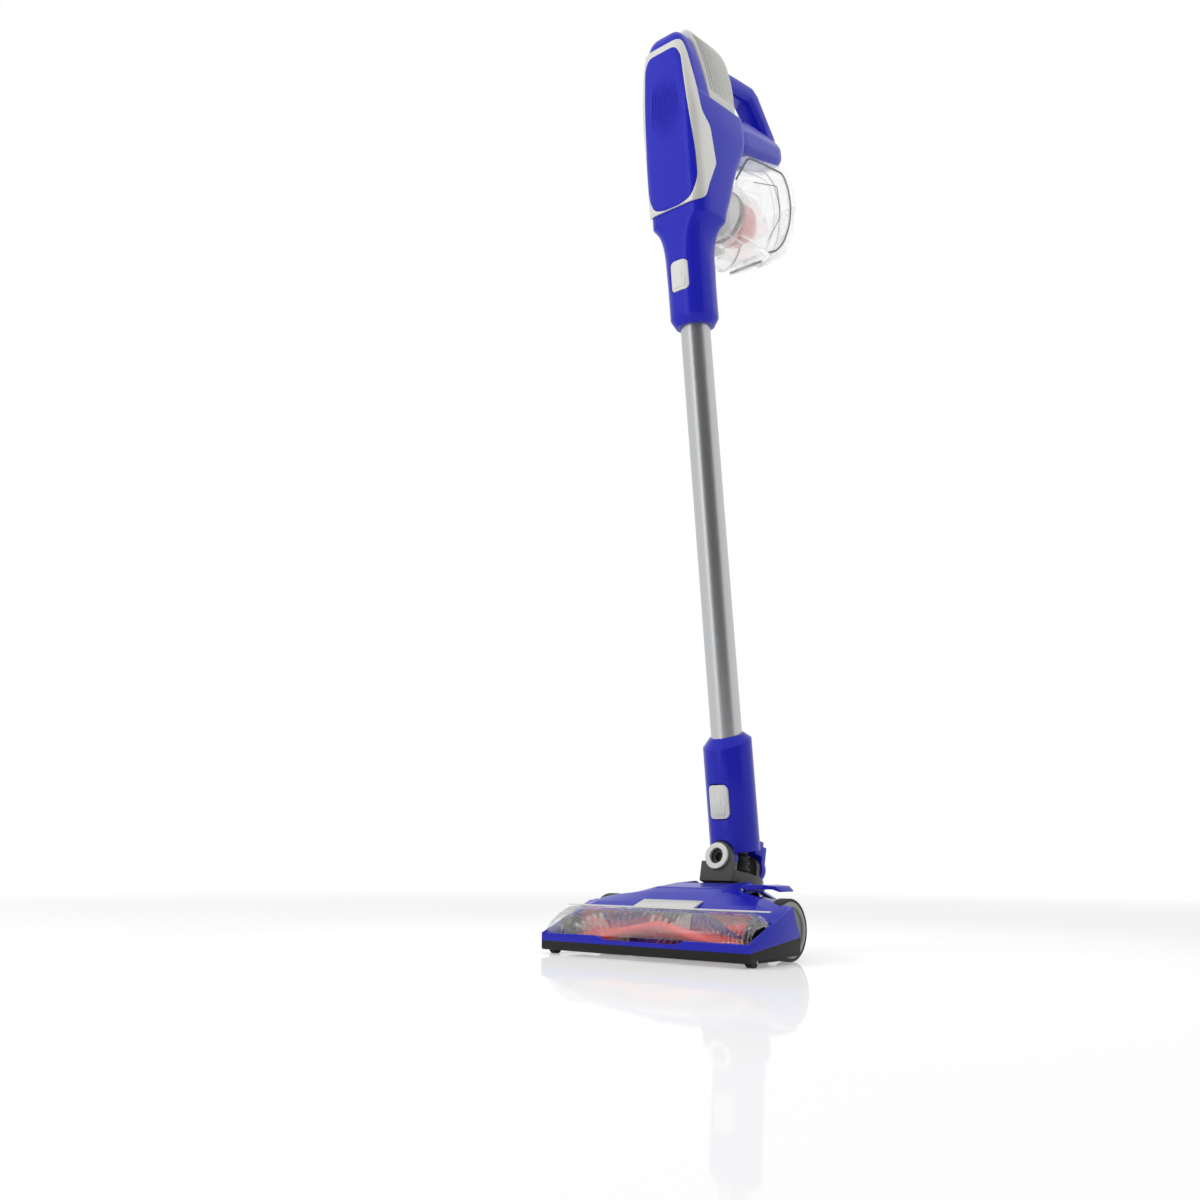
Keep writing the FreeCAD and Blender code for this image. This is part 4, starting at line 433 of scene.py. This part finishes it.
def seen_rays(tree):
    """Socket that is 1 for the rays that show a surface, and 0 for those that light one."""
    path = add(tree, "ShaderNodeLightPath")
    socket = path.outputs["Is Camera Ray"]
    for kind in ("Is Transmission Ray", "Is Glossy Ray"):
        socket = add(tree, "ShaderNodeMath", {"operation": "MAXIMUM"},
                     {0: socket, 1: path.outputs[kind]}).outputs[0]
    return socket


WORLD_LIGHT = 0.42
FLOOR_GLOW = 0.27
MIRROR_NEAR, MIRROR_FAR = 0.34, 0.08


def studio():
    """Pale floor that mirrors faintly, white surroundings and soft lamps."""
    world = bpy.data.worlds.new("studio")
    scene.world = world
    world.use_nodes = True
    tree = world.node_tree
    level = add(tree, "ShaderNodeMapRange", {"To Min": WORLD_LIGHT, "To Max": 1.0},
                {"Value": seen_rays(tree)})
    tree.links.new(level.outputs[0], tree.nodes["Background"].inputs["Strength"])
    tree.nodes["Background"].inputs["Color"].default_value = (1, 1, 1, 1)

    # Pale lacquered floor: a matt base with a faint mirror that weakens away from the cleaner.
    floor = primitive("plane", "studio_floor", size=16)
    material = bpy.data.materials.new("pale_gloss_floor")
    material.use_nodes = True
    tree = material.node_tree
    shader = tree.nodes["Principled BSDF"]
    shader.inputs["Base Color"].default_value = linear("#F2F2F2")
    shader.inputs["Roughness"].default_value = 0.9
    shader.inputs["Specular IOR Level"].default_value = 0.0
    spot = add(tree, "ShaderNodeTexCoord")
    near = add(tree, "ShaderNodeVectorMath", {"operation": "LENGTH"}, {0: spot.outputs["Object"]})
    fade = add(tree, "ShaderNodeMapRange",
               {"From Min": 0.1, "From Max": 0.75, "To Min": MIRROR_NEAR, "To Max": MIRROR_FAR},
               {"Value": near.outputs["Value"]})
    mirror = add(tree, "ShaderNodeBsdfGlossy", {"Roughness": 0.04, "Color": (1, 1, 1, 1)})
    mix = add(tree, "ShaderNodeMixShader", {},
              {0: fade.outputs[0], 1: shader.outputs[0], 2: mirror.outputs[0]})
    lift = add(tree, "ShaderNodeMath", {"operation": "MULTIPLY", 1: FLOOR_GLOW}, {0: seen_rays(tree)})
    glow = add(tree, "ShaderNodeEmission", {"Color": (1, 1, 1, 1)}, {"Strength": lift.outputs[0]})
    both = add(tree, "ShaderNodeAddShader", {}, {0: mix.outputs[0], 1: glow.outputs[0]})
    # far from the cleaner the floor goes over into the white surroundings
    far = add(tree, "ShaderNodeMapRange", {"From Min": 0.9, "From Max": 2.4},
              {"Value": near.outputs["Value"]})
    white = add(tree, "ShaderNodeEmission", {"Color": (1, 1, 1, 1), "Strength": 1.0})
    whole = add(tree, "ShaderNodeMixShader", {}, {0: far.outputs[0], 1: both.outputs[0], 2: white.outputs[0]})
    tree.links.new(whole.outputs[0], tree.nodes["Material Output"].inputs["Surface"])
    floor.data.materials.append(material)

    # Black felt card behind the camera, seen only in reflections: it gives metal and gloss their dark side.
    flag = primitive("plane", "dark_flag", size=1)
    ahead = Vector((0.633, -0.743, 0)).normalized()
    turn = ahead.to_track_quat("Z", "Y").to_matrix().to_4x4()
    flag.data.transform(Matrix.Translation(ahead * 1.75 + Vector((0, 0, 0.9)))
                        @ turn @ Matrix.Diagonal((4.2, 2.6, 1, 1)))
    card = bpy.data.materials.new("black_felt_card")
    card.use_nodes = True
    card.node_tree.nodes["Principled BSDF"].inputs["Base Color"].default_value = linear("#585858")
    flag.data.materials.append(card)
    flag.visible_camera = flag.visible_diffuse = flag.visible_shadow = flag.visible_transmission = False

    softbox("key", (-1.3, -1.9, 1.9), (0, 0, 0.6), (1.2, 1.6), 17)
    softbox("strip", (-0.36, -2.2, 0.75), (0, 0, 0.7), (0.45, 2.6), 7, True)
    softbox("fill", (2.2, -0.9, 1.3), (0, 0, 0.6), (0.8, 1.6), 5)
    softbox("top", (0.1, 0.2, 2.6), (0, 0, 0.5), (1.6, 1.6), 14)


camera()
scene.view_settings.view_transform = "Standard"
studio()

# ---------------------------------------------------------------------------------------------------
# Hand unit
# ---------------------------------------------------------------------------------------------------
# Height over the tube top, half width, front, back, front corner, back corner.
BODY_ROWS = [
    (-79, 22.5, -22.5, 22.5, 22, 22), (-77, 23.5, -23.5, 23.5, 23, 23), (-68, 27.7, -27.7, 27.7, 27, 27),
    (-30, 27.7, -27.7, 27.7, 27, 27), (-8, 27.9, -27.5, 27.7, 26, 26), (12, 28, -27, 27, 24, 24),
    (26, 28.8, -27, 27.6, 22, 21), (42, 33, -27, 29, 20, 18), (51, 38.6, -27, 31.5, 19, 16),
    (54, 40.9, -27, 32.5, 19, 15), (66, 41.3, -27, 36, 20, 14), (88, 41.5, -27, 46, 20, 14),
    (138, 41.5, -27, 69, 20, 15), (178, 41.2, -27, 92, 18, 15), (200, 40, -27, 94, 16, 15),
    (214, 38.6, -27, 94, 14, 15),
]
CROWN_ROWS = [
    (211, 38, -27, 21, 14, 6), (213, 37.9, -27, 20, 14, 6), (235, 36.2, -26.8, 14, 14, 6),
    (262, 33.2, -26.4, 8, 14, 6), (277, 30, -25.4, 4, 13, 6), (289, 26, -23.3, 2, 12, 6),
    (296, 21.6, -20.5, 0.5, 10, 6), (300, 16.4, -17, -2, 8, 5), (301.6, 10, -13, -4.5, 5, 3.5),
]
FRONT_ROWS = [(height, half, front, 20, corner, 6)
              for height, half, front, _, corner, _ in BODY_ROWS[8:15]] + CROWN_ROWS[2:]
COVER_ROWS = [
    (214.5, 35.6, 18.3, 86, 4, 19), (216, 36, 18, 87, 4, 20), (238, 35.4, 14.2, 88, 4, 20),
    (262, 33.6, 8.4, 87.6, 4, 19), (283, 30.6, 4, 85, 4, 17), (298, 26.6, 2, 80.5, 4, 14),
    (308, 21.5, 3, 75, 4, 11), (315, 16, 8, 67, 4, 8), (318.6, 10, 16, 57, 4, 6),
]
PANEL = [(12, 67.5, 12), (27, 72, 14), (36.5, 92, 18), (36.5, 130, 20), (27, 258, 6), (20, 272, 9)]
TRIM_SIDE = [(-60, 64), (-19, 67, 8), (-11, 88, 10), (8, 121, 4), (1, 168, 6), (-14, 181, 14),
             (-24, 281, 5), (-60, 284.5)]


def stack(name, rows, grow=0, fine=4):
    """Shell of rounded rectangles stacked along the wand, larger all round by grow."""
    return loft(name, [
        plan(height, half + grow, front - grow, back + grow, front_corner + grow, back_corner + grow)
        for height, half, front, back, front_corner, back_corner in between(rows, fine)])


def both_sides(corners):
    return corners + [(-corner[0],) + tuple(corner[1:]) for corner in reversed(corners)]


def rod(name, radius, start, end, sides=48):
    """Round bar between two points."""
    start, end = Vector(start), Vector(end)
    middle, run = (start + end) / 2, end - start
    turn = run.to_track_quat("Z", "Y").to_euler()
    return primitive("cylinder", name, vertices=sides, radius=radius, depth=run.length, location=middle,
                     rotation=turn)


def button(name, middle, collar, frame_matrix, body, node):
    """Release button: rounded plate that follows its collar, with a raised foot that has an arched top."""
    def plate(label, outline, radius):
        face = rod(label + "_face", radius, (0, 0, middle - 40), (0, 0, middle + 40), 96)
        return carve(prism(label, outline, "front", -radius - 2, -collar + 6.5), face, "INTERSECT")

    tall, half = 18.9, 12.6
    whole = plate(name, rounded([(half, middle - tall), (half, middle + tall), (-half, middle + tall),
                                 (-half, middle - tall)], 6.5, 6), collar + 0.4)
    foot = rounded([(8.4, middle - 15, 4), (8.4, middle - 3.4, 1), (4.8, middle - 3.4, 1.2),
                    (3.6, middle + 1.6, 2.4), (-3.6, middle + 1.6, 2.4), (-4.8, middle - 3.4, 1.2),
                    (-8.4, middle - 3.4, 1), (-8.4, middle - 15, 4)], 2, 3)
    carve(whole, plate(name + "_foot", foot, collar + 1.2), "UNION")
    soften(whole, 0.45, 2, 40)
    return place(whole, frame_matrix, body, PALE, "light_grey_plastic", node)


def button_pocket(name, middle, collar):
    """Room for a release button in its collar."""
    return prism(name, rounded([(13.4, middle - 19.7), (13.4, middle + 19.7), (-13.4, middle + 19.7),
                                (-13.4, middle - 19.7)], 7, 6), "front", -collar - 4, -collar + 8.8)


def hand_body():
    """Blue body: collar, flared chin, side walls and the crown behind the panel."""
    body = carve(stack("body_shell", BODY_ROWS), stack("body_crown", CROWN_ROWS), "UNION")
    carve(body, rod("body_socket", 18.4, (0, 0, -90), (0, 0, 1)))
    carve(body, rod("body_passage", 14.8, (0, 0, 0), (0, 0, 97)))
    carve(body, rod("body_port", 24, (0, 20, 91), (0, 80, 91)))
    carve(body, button_pocket("body_pocket", -19.5, 27.7))
    carve(body, rod("body_jack", 5.5, (-46, 60, 193), (-33, 60, 193)))
    soften(body, 0.5, 2, 50)
    place(body, HAND, "hand_unit", BLUE, "blue_shell", "hand_body")


def hand_front():
    """Silver trim round the front and the blue ribbed panel in it."""
    trim = stack("silver_trim", FRONT_ROWS, 2.6)
    carve(trim, prism("trim_side", rounded(TRIM_SIDE, 3), "side", -70, 70), "INTERSECT")
    carve(trim, prism("trim_core", [(-50, 40), (50, 40), (50, 340), (-50, 340)], "front", 14, 120))
    outline = both_sides([(across + 0.5, height + (0.5 if height > 200 else -0.5), *rest)
                          for across, height, *rest in PANEL])
    carve(trim, prism("trim_window", rounded(outline, 8, 6), "front", -60, -10))
    carve(trim, stack("trim_inner", FRONT_ROWS, -0.6))
    soften(trim, 0.9, 2, 45)
    place(trim, HAND, "hand_unit", SILVER, "silver_paint", "trim_frame")

    panel = carve(stack("ribbed_panel", FRONT_ROWS, 3.1),
                  prism("panel_view", rounded(both_sides(PANEL), 8, 6), "front", -60, -20), "INTERSECT")
    ribs = []
    for number in range(-8, 9):
        low, high = 140 + 2.2 * abs(number) ** 1.2, 256 - 1.6 * abs(number)
        rings = []
        for step in range(13):
            part = step / 12
            height = low + (high - low) * part
            across = number * (2.8 - 0.9 * part)
            depth = -30.1 + max(0.0, height - 214) * 0.014
            swell = math.sin(math.pi * part) ** 0.5
            rings.append([(across + (0.62 * swell + 0.001) * math.cos(turn),
                           depth + 1.15 - 1.3 * swell + 0.5 * math.sin(turn), height)
                          for turn in (math.tau * k / 8 for k in range(8))])
        ribs.append(loft("panel_rib_%d" % (number + 8), rings))
    soften(panel, 0.8, 2, 45)
    panel = join("ribbed_panel", panel, *ribs)
    place(panel, HAND, "hand_unit", BLUE, "blue_shell", "front_panel")


EXHAUST_POINTS, EXHAUST_RIBS, RIB_DEPTH, RIB_FOOT = 360, 38, 3.0, 227


def exhaust():
    """Silver grey cover with upright ribs over its sides and top, and a plain band at its foot."""
    rings = []
    for height, half, front, back, front_corner, back_corner in between(COVER_ROWS, 6):
        strength = min(1.0, max(0.0, (height - RIB_FOOT) / 5))
        ring = rounded([(half, front, front_corner), (half, back, back_corner), (-half, back, back_corner),
                        (-half, front, front_corner)], 4, 8)
        length = [0.0]
        for one, two in zip(ring, ring[1:] + ring[:1]):
            length.append(length[-1] + math.dist(one, two))
        total = length[-1]
        fine = []
        for number in range(EXHAUST_POINTS):
            at = total * number / EXHAUST_POINTS
            index = max(k for k, reached in enumerate(length[:-1]) if reached <= at)
            one, two = ring[index], ring[(index + 1) % len(ring)]
            part = (at - length[index]) / max(1e-6, length[index + 1] - length[index])
            spot = Vector(one) * (1 - part) + Vector(two) * part
            middle = Vector((0, (front + back) / 2))
            ribbed = spot.y > front + 5
            wave = max(0.0, math.cos(math.tau * number / EXHAUST_POINTS * EXHAUST_RIBS)) ** 0.5
            depth = RIB_DEPTH * strength * (1 - wave) if ribbed else 0.0
            inward = (middle - spot).normalized() * depth
            fine.append((spot.x + inward.x, spot.y + inward.y, height))
        rings.append(fine)
    cover = loft("ribbed_exhaust", rings)
    place(cover, HAND, "hand_unit", GREY, "grey_plastic", "exhaust_cover", angle=50)


def handle():
    """Handle: creased arm over the cup, and a rounded bar that rises from its end and runs forward."""
    def ring(back, up, lean, wide, thick, corner):
        """Rounded section of the bar, square to a run that leans so many degrees."""
        turn = math.radians(lean)
        out = Vector((0, -math.sin(turn), math.cos(turn)))
        return [Vector((0, back, up)) + RIGHT * across + out * rise
                for across, rise in rounded([(wide, -thick), (wide, thick), (-wide, thick), (-wide, -thick)],
                                            corner, 5)]

    bar = loft("handle_bar", [
        ring(76, 283.5, 7, 14.5, 14.5, 10), ring(100, 286.6, 7, 14.5, 14, 10),
        ring(128, 290.2, 7, 14.5, 13.4, 10), ring(148, 292, 4, 14.6, 12.8, 10),
        ring(160, 292.4, -18, 14.8, 13.4, 9), ring(168, 287.5, -42, 15, 14, 9),
        ring(179, 274.5, -51, 15, 12.6, 9), ring(192, 258, -53, 15, 12, 9),
        ring(203, 243, -56, 14.6, 12.6, 8), ring(207, 233, -74, 14, 13.4, 7)])

    def section(depth, half, low, crease, top_half, high):
        return [(across, depth, height) for across, height in rounded(both_sides([
            (half - 5, low, 3), (half, low + 7, 3), (half, crease, 3), (top_half, high, 5)]), 3, 3)]

    arm = loft("handle_arm", [
        section(70, 34, 176, 203, 26, 213), section(94, 34.8, 176.4, 203, 26, 215.5),
        section(108, 33.5, 180, 208, 22, 228), section(126, 31, 184.4, 213, 19, 237),
        section(150, 28, 191, 218, 17, 241), section(180, 24, 198.6, 224, 15.4, 243),
        section(206, 20.5, 205.6, 230, 13.6, 245), section(216, 19, 208.4, 232, 13, 244),
        section(221, 16.8, 212, 232, 12, 240)])
    whole = carve(bar, arm, "UNION")
    carve(whole, prism("trigger_room", [(98, 255), (125.6, 255), (125.6, 288), (98, 288)], "side", -6.7, 6.7))
    soften(whole, 0.8, 2, 60)
    place(whole, HAND, "hand_unit", BLUE, "blue_shell", "handle_loop")
    line = loft("bright_line", [
        [(across * wide, back + lean * (rise + 0.2), up + rise) for across, rise in
         ((4, 0), (3.4, 0.5), (-3.4, 0.5), (-4, 0), (-3.4, -0.8), (3.4, -0.8))]
        for back, up, wide, lean in ((84, 298.6, 0.7, 0), (110, 301.9, 1, 0), (140, 305, 1, 0),
                                     (156, 305.4, 0.8, 0.2), (168, 301, 0.4, 0.6))])
    soften(line, 0.15, 1, 40)
    place(line, HAND, "hand_unit", SILVER, "silver_paint", "handle_strip")


hand_body()
hand_front()
exhaust()
handle()
button("hand_release", -19.5, 27.7, HAND, "hand_button", "hand_button")
button("neck_release", 63, 28.5, WAND, "neck_button", "neck_button")


# ---------------------------------------------------------------------------------------------------
# Floor tool
# ---------------------------------------------------------------------------------------------------
WINDOW_AXIS = (30, 22)
WINDOW_OUTER, WINDOW_INNER = 28, 26
WINDOW_END, DOME_START = 130.7, 108
FLUTE_PITCH, FLUTE_DEPTH = 5.2, 0.7


def window():
    """Clear window over the brush: curved front, flat top, domed ends with upright flutes."""
    def half_ring(across, radius):
        end = min(1.0, max(0.0, (abs(across) - DOME_START) / (WINDOW_END - DOME_START)))
        rise, reach = 1 - 0.42 * end ** 2.4, 1 - 0.1 * end ** 2
        flute = FLUTE_DEPTH * max(0.0, math.sin(math.tau * abs(across) / FLUTE_PITCH))
        size = radius - (flute if 96 < abs(across) < 128 else 0.0)
        arc = [(WINDOW_AXIS[0] - size * reach * math.sin(turn), WINDOW_AXIS[1] + size * rise * math.cos(turn))
               for turn in (math.radians(90 - 6 * step) for step in range(16))]
        return arc + [(36.5, arc[-1][1]), (43, arc[-1][1])]

    rings = []
    stations = [-WINDOW_END, -130.2]
    stations += [-129 + 0.65 * step for step in range(51)]
    stations += [-90, -60, -20, 20, 60, 90]
    stations += [129 - 0.65 * step for step in reversed(range(51))] + [130.2, WINDOW_END]
    for across in stations:
        outer, inner = half_ring(across, WINDOW_OUTER), half_ring(across, WINDOW_INNER)
        rings.append([(across, back, height) for back, height in outer + inner[::-1]])
    place(loft("clear_window", rings), FLOOR, "floor_tool", CLEAR, "clear", "brush_window")


BRUSH_AXIS = (32, 25)
BRUSH_START, BRUSH_LENGTH = -95, 207
VANE_STEPS, VANE_SIDES = 104, 40
TUFTS_IN_ROW, TUFT_START, TUFT_PITCH = 32, -92, 6.5
TUFT_ROOT, TUFT_LENGTH, TUFT_SWELL = 5, 17.2, 1.5


def brush():
    """Brush roll: twisted coral vane core with helical rows of bristle tufts, turned to a chevron."""
    def lean(across):
        return math.radians(118) + math.tau * abs(across - 6) / 260

    rings = []
    for step in range(VANE_STEPS + 1):
        across = BRUSH_START + BRUSH_LENGTH * step / VANE_STEPS
        ring = []
        for number in range(VANE_SIDES):
            turn = math.tau * number / VANE_SIDES
            reach = 5.4 + 9.4 * math.cos(turn - lean(across)) ** 4
            ring.append((across, BRUSH_AXIS[0] + reach * math.cos(turn),
                         BRUSH_AXIS[1] + reach * math.sin(turn)))
        rings.append(ring)
    core = loft("brush_vanes", rings)
    carve(core, rod("core_bore", 3.1, (-97, *BRUSH_AXIS), (114, *BRUSH_AXIS), 24))
    place(core, FLOOR, "brush_roll", CORAL, "red_plastic", "brush_core")

    chance = random.Random(7)
    seed = []
    for number in range(9):
        turn, out = math.tau * number / 9, 0.9 if number else 0.0
        seed.append(primitive("cone", "bristle", vertices=3, radius1=0.5, radius2=0.42, depth=1,
                              location=(out * math.cos(turn), out * math.sin(turn), 0.5)))
    tuft = join("tuft", *seed)
    rows = {"white": [], "purple": []}
    for side in (0, math.pi):
        for step in range(TUFTS_IN_ROW):
            across = TUFT_START + TUFT_PITCH * step
            if side:
                colour = "purple" if -60 < across < -14 or across > 40 else "white"
            else:
                colour = "white" if across < -34 or 58 < across < 84 else "purple"
            only(tuft)
            bpy.ops.object.duplicate()
            copy = bpy.context.object
            turn = lean(across) + math.pi / 2 + side + chance.uniform(-0.04, 0.04)
            out = Vector((0, math.cos(turn), math.sin(turn)))
            splay = (out + Vector((chance.uniform(-0.09, 0.09), 0, 0))).normalized()
            root = Vector((across, *BRUSH_AXIS)) + out * TUFT_ROOT
            pose = Matrix.Translation(root) @ splay.to_track_quat("Z", "Y").to_matrix().to_4x4()
            copy.data.transform(pose @ Matrix.Diagonal((TUFT_SWELL, TUFT_SWELL, TUFT_LENGTH, 1)))
            rows[colour].append(copy)
    bpy.data.objects.remove(tuft)
    place(join("white_tufts", *rows["white"]), FLOOR, "brush_roll", WHITE_NYLON, "white_bristle",
          "brush_tufts_white")
    place(join("purple_tufts", *rows["purple"]), FLOOR, "brush_roll", PURPLE_NYLON, "purple_bristle",
          "brush_tufts_purple")


HOSE_START, HOSE_HEIGHT = 122.3, 28
HOSE_LEVEL, HOSE_BEND = 6, 50
HOSE_MIDDLE, HOSE_LENGTH = 80, 123.5
HOSE_RADIUS, HOSE_RIDGE, HOSE_PITCH, HOSE_WALL = 15.6, 1.4, 7.2, 1.4


def hose():
    """Corrugated hose: out of the floor tool, round a bend, up past the swivel."""
    level_end = HOSE_START + HOSE_LEVEL
    bend_end = level_end + HOSE_BEND
    bend_top = HOSE_HEIGHT + HOSE_BEND
    quarter = math.pi / 2 * HOSE_BEND

    def line(at):
        """Point and direction of the middle line, so far along it."""
        if at < HOSE_LEVEL:
            return Vector((0, HOSE_START + at, HOSE_HEIGHT)), Vector((0, 1, 0))
        if at < HOSE_LEVEL + quarter:
            turn = (at - HOSE_LEVEL) / HOSE_BEND
            spot = (0, level_end + HOSE_BEND * math.sin(turn), bend_top - HOSE_BEND * math.cos(turn))
            return Vector(spot), Vector((0, math.cos(turn), math.sin(turn)))
        return Vector((0, bend_end, bend_top + at - HOSE_LEVEL - quarter)), Vector((0, 0, 1))

    def tube(name, start, end):
        rings, inside = [], []
        steps = int((end - start) / 0.9)
        for step in range(steps + 1):
            at = start + (end - start) * step / steps
            spot, run = line(at)
            side = run.cross(RIGHT)
            reach = HOSE_RADIUS + HOSE_RIDGE * math.sin(math.tau * at / HOSE_PITCH)
            for rows, size in ((rings, reach), (inside, reach - HOSE_WALL)):
                rows.append([tuple(spot + (RIGHT * math.cos(turn) + side * math.sin(turn)) * size)
                             for turn in (math.tau * number / 40 for number in range(40))])
        return loft(name, rings + inside[::-1], False)

    for name, start, end, one, two, low, high in (
            ("hose_lower", 0, HOSE_MIDDLE, "floor_tool", "yoke", (0, 128, 40), (0, 174, 60)),
            ("hose_upper", HOSE_MIDDLE, HOSE_LENGTH, "yoke", "neck",
             (0, bend_end, bend_top), (0, bend_end, 113))):
        piece = tube(name, start, end)
        place(piece, FLOOR, None, RUBBER, "rubber", "flex_hose")
        FLOOR @ Vector(low)
        FLOOR @ Vector(high)
        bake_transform(piece)


window()
brush()
hose()

def cup_painted_dark_edges():
    """Dark beads that paint the shade on the thick edges of the clear dust cup, where the wall is seen
    end-on, and on the raised line on its sides.
    """
    def bead(name, spots, radius):
        rings = []
        for number, spot in enumerate(spots):
            ahead = Vector(spots[min(number + 1, len(spots) - 1)]) - Vector(spots[max(number - 1, 0)])
            side = Vector((0, ahead.z, -ahead.y)).normalized()
            rings.append([tuple(Vector(spot) + (RIGHT * math.cos(turn) + side * math.sin(turn)) * radius)
                          for turn in (math.tau * step / 8 for step in range(8))])
        return loft(name, rings)

    flat = [(60, 122, 1), (94, 164, 10), (180, 174, 8), (191, 158, 6), (195, 134, 12), (187, 104, 12),
            (167, 72, 12), (145, 53, 8), (126, 45, 1)]
    line = [(100, 132, 1), (160, 148, 5), (163, 107, 14), (124, 60, 1)]
    pieces = []
    for side in (-1, 1):
        pieces.append(bead("cup_edge", [(side * 38.6, back, height) for back, height in
                                        rounded(flat, 8, 5, False)], 1.3))
        pieces.append(bead("cup_line", [(side * 39.9, back, height) for back, height in
                                        rounded(line, 8, 6, False)], 0.55))
    ridge = [(96, 170, 1), (207, 199.6, 12), (225.6, 186.4, 8), (234.6, 154, 16), (220.8, 106.6, 16),
             (191, 67, 16), (160, 47.5, 1)]
    pieces.append(bead("cup_ridge", [(0, back, height) for back, height in
                                     rounded(ridge, 10, 6, False)], 0.9))
    # painted shade: the beads get a dark grey that stands in for refraction at the end-on cup wall
    place(join("cup_painted_dark_edges", *pieces), HAND, "dust_cup", PAINTED_EDGE_SHADE, "clear")


cup_painted_dark_edges()
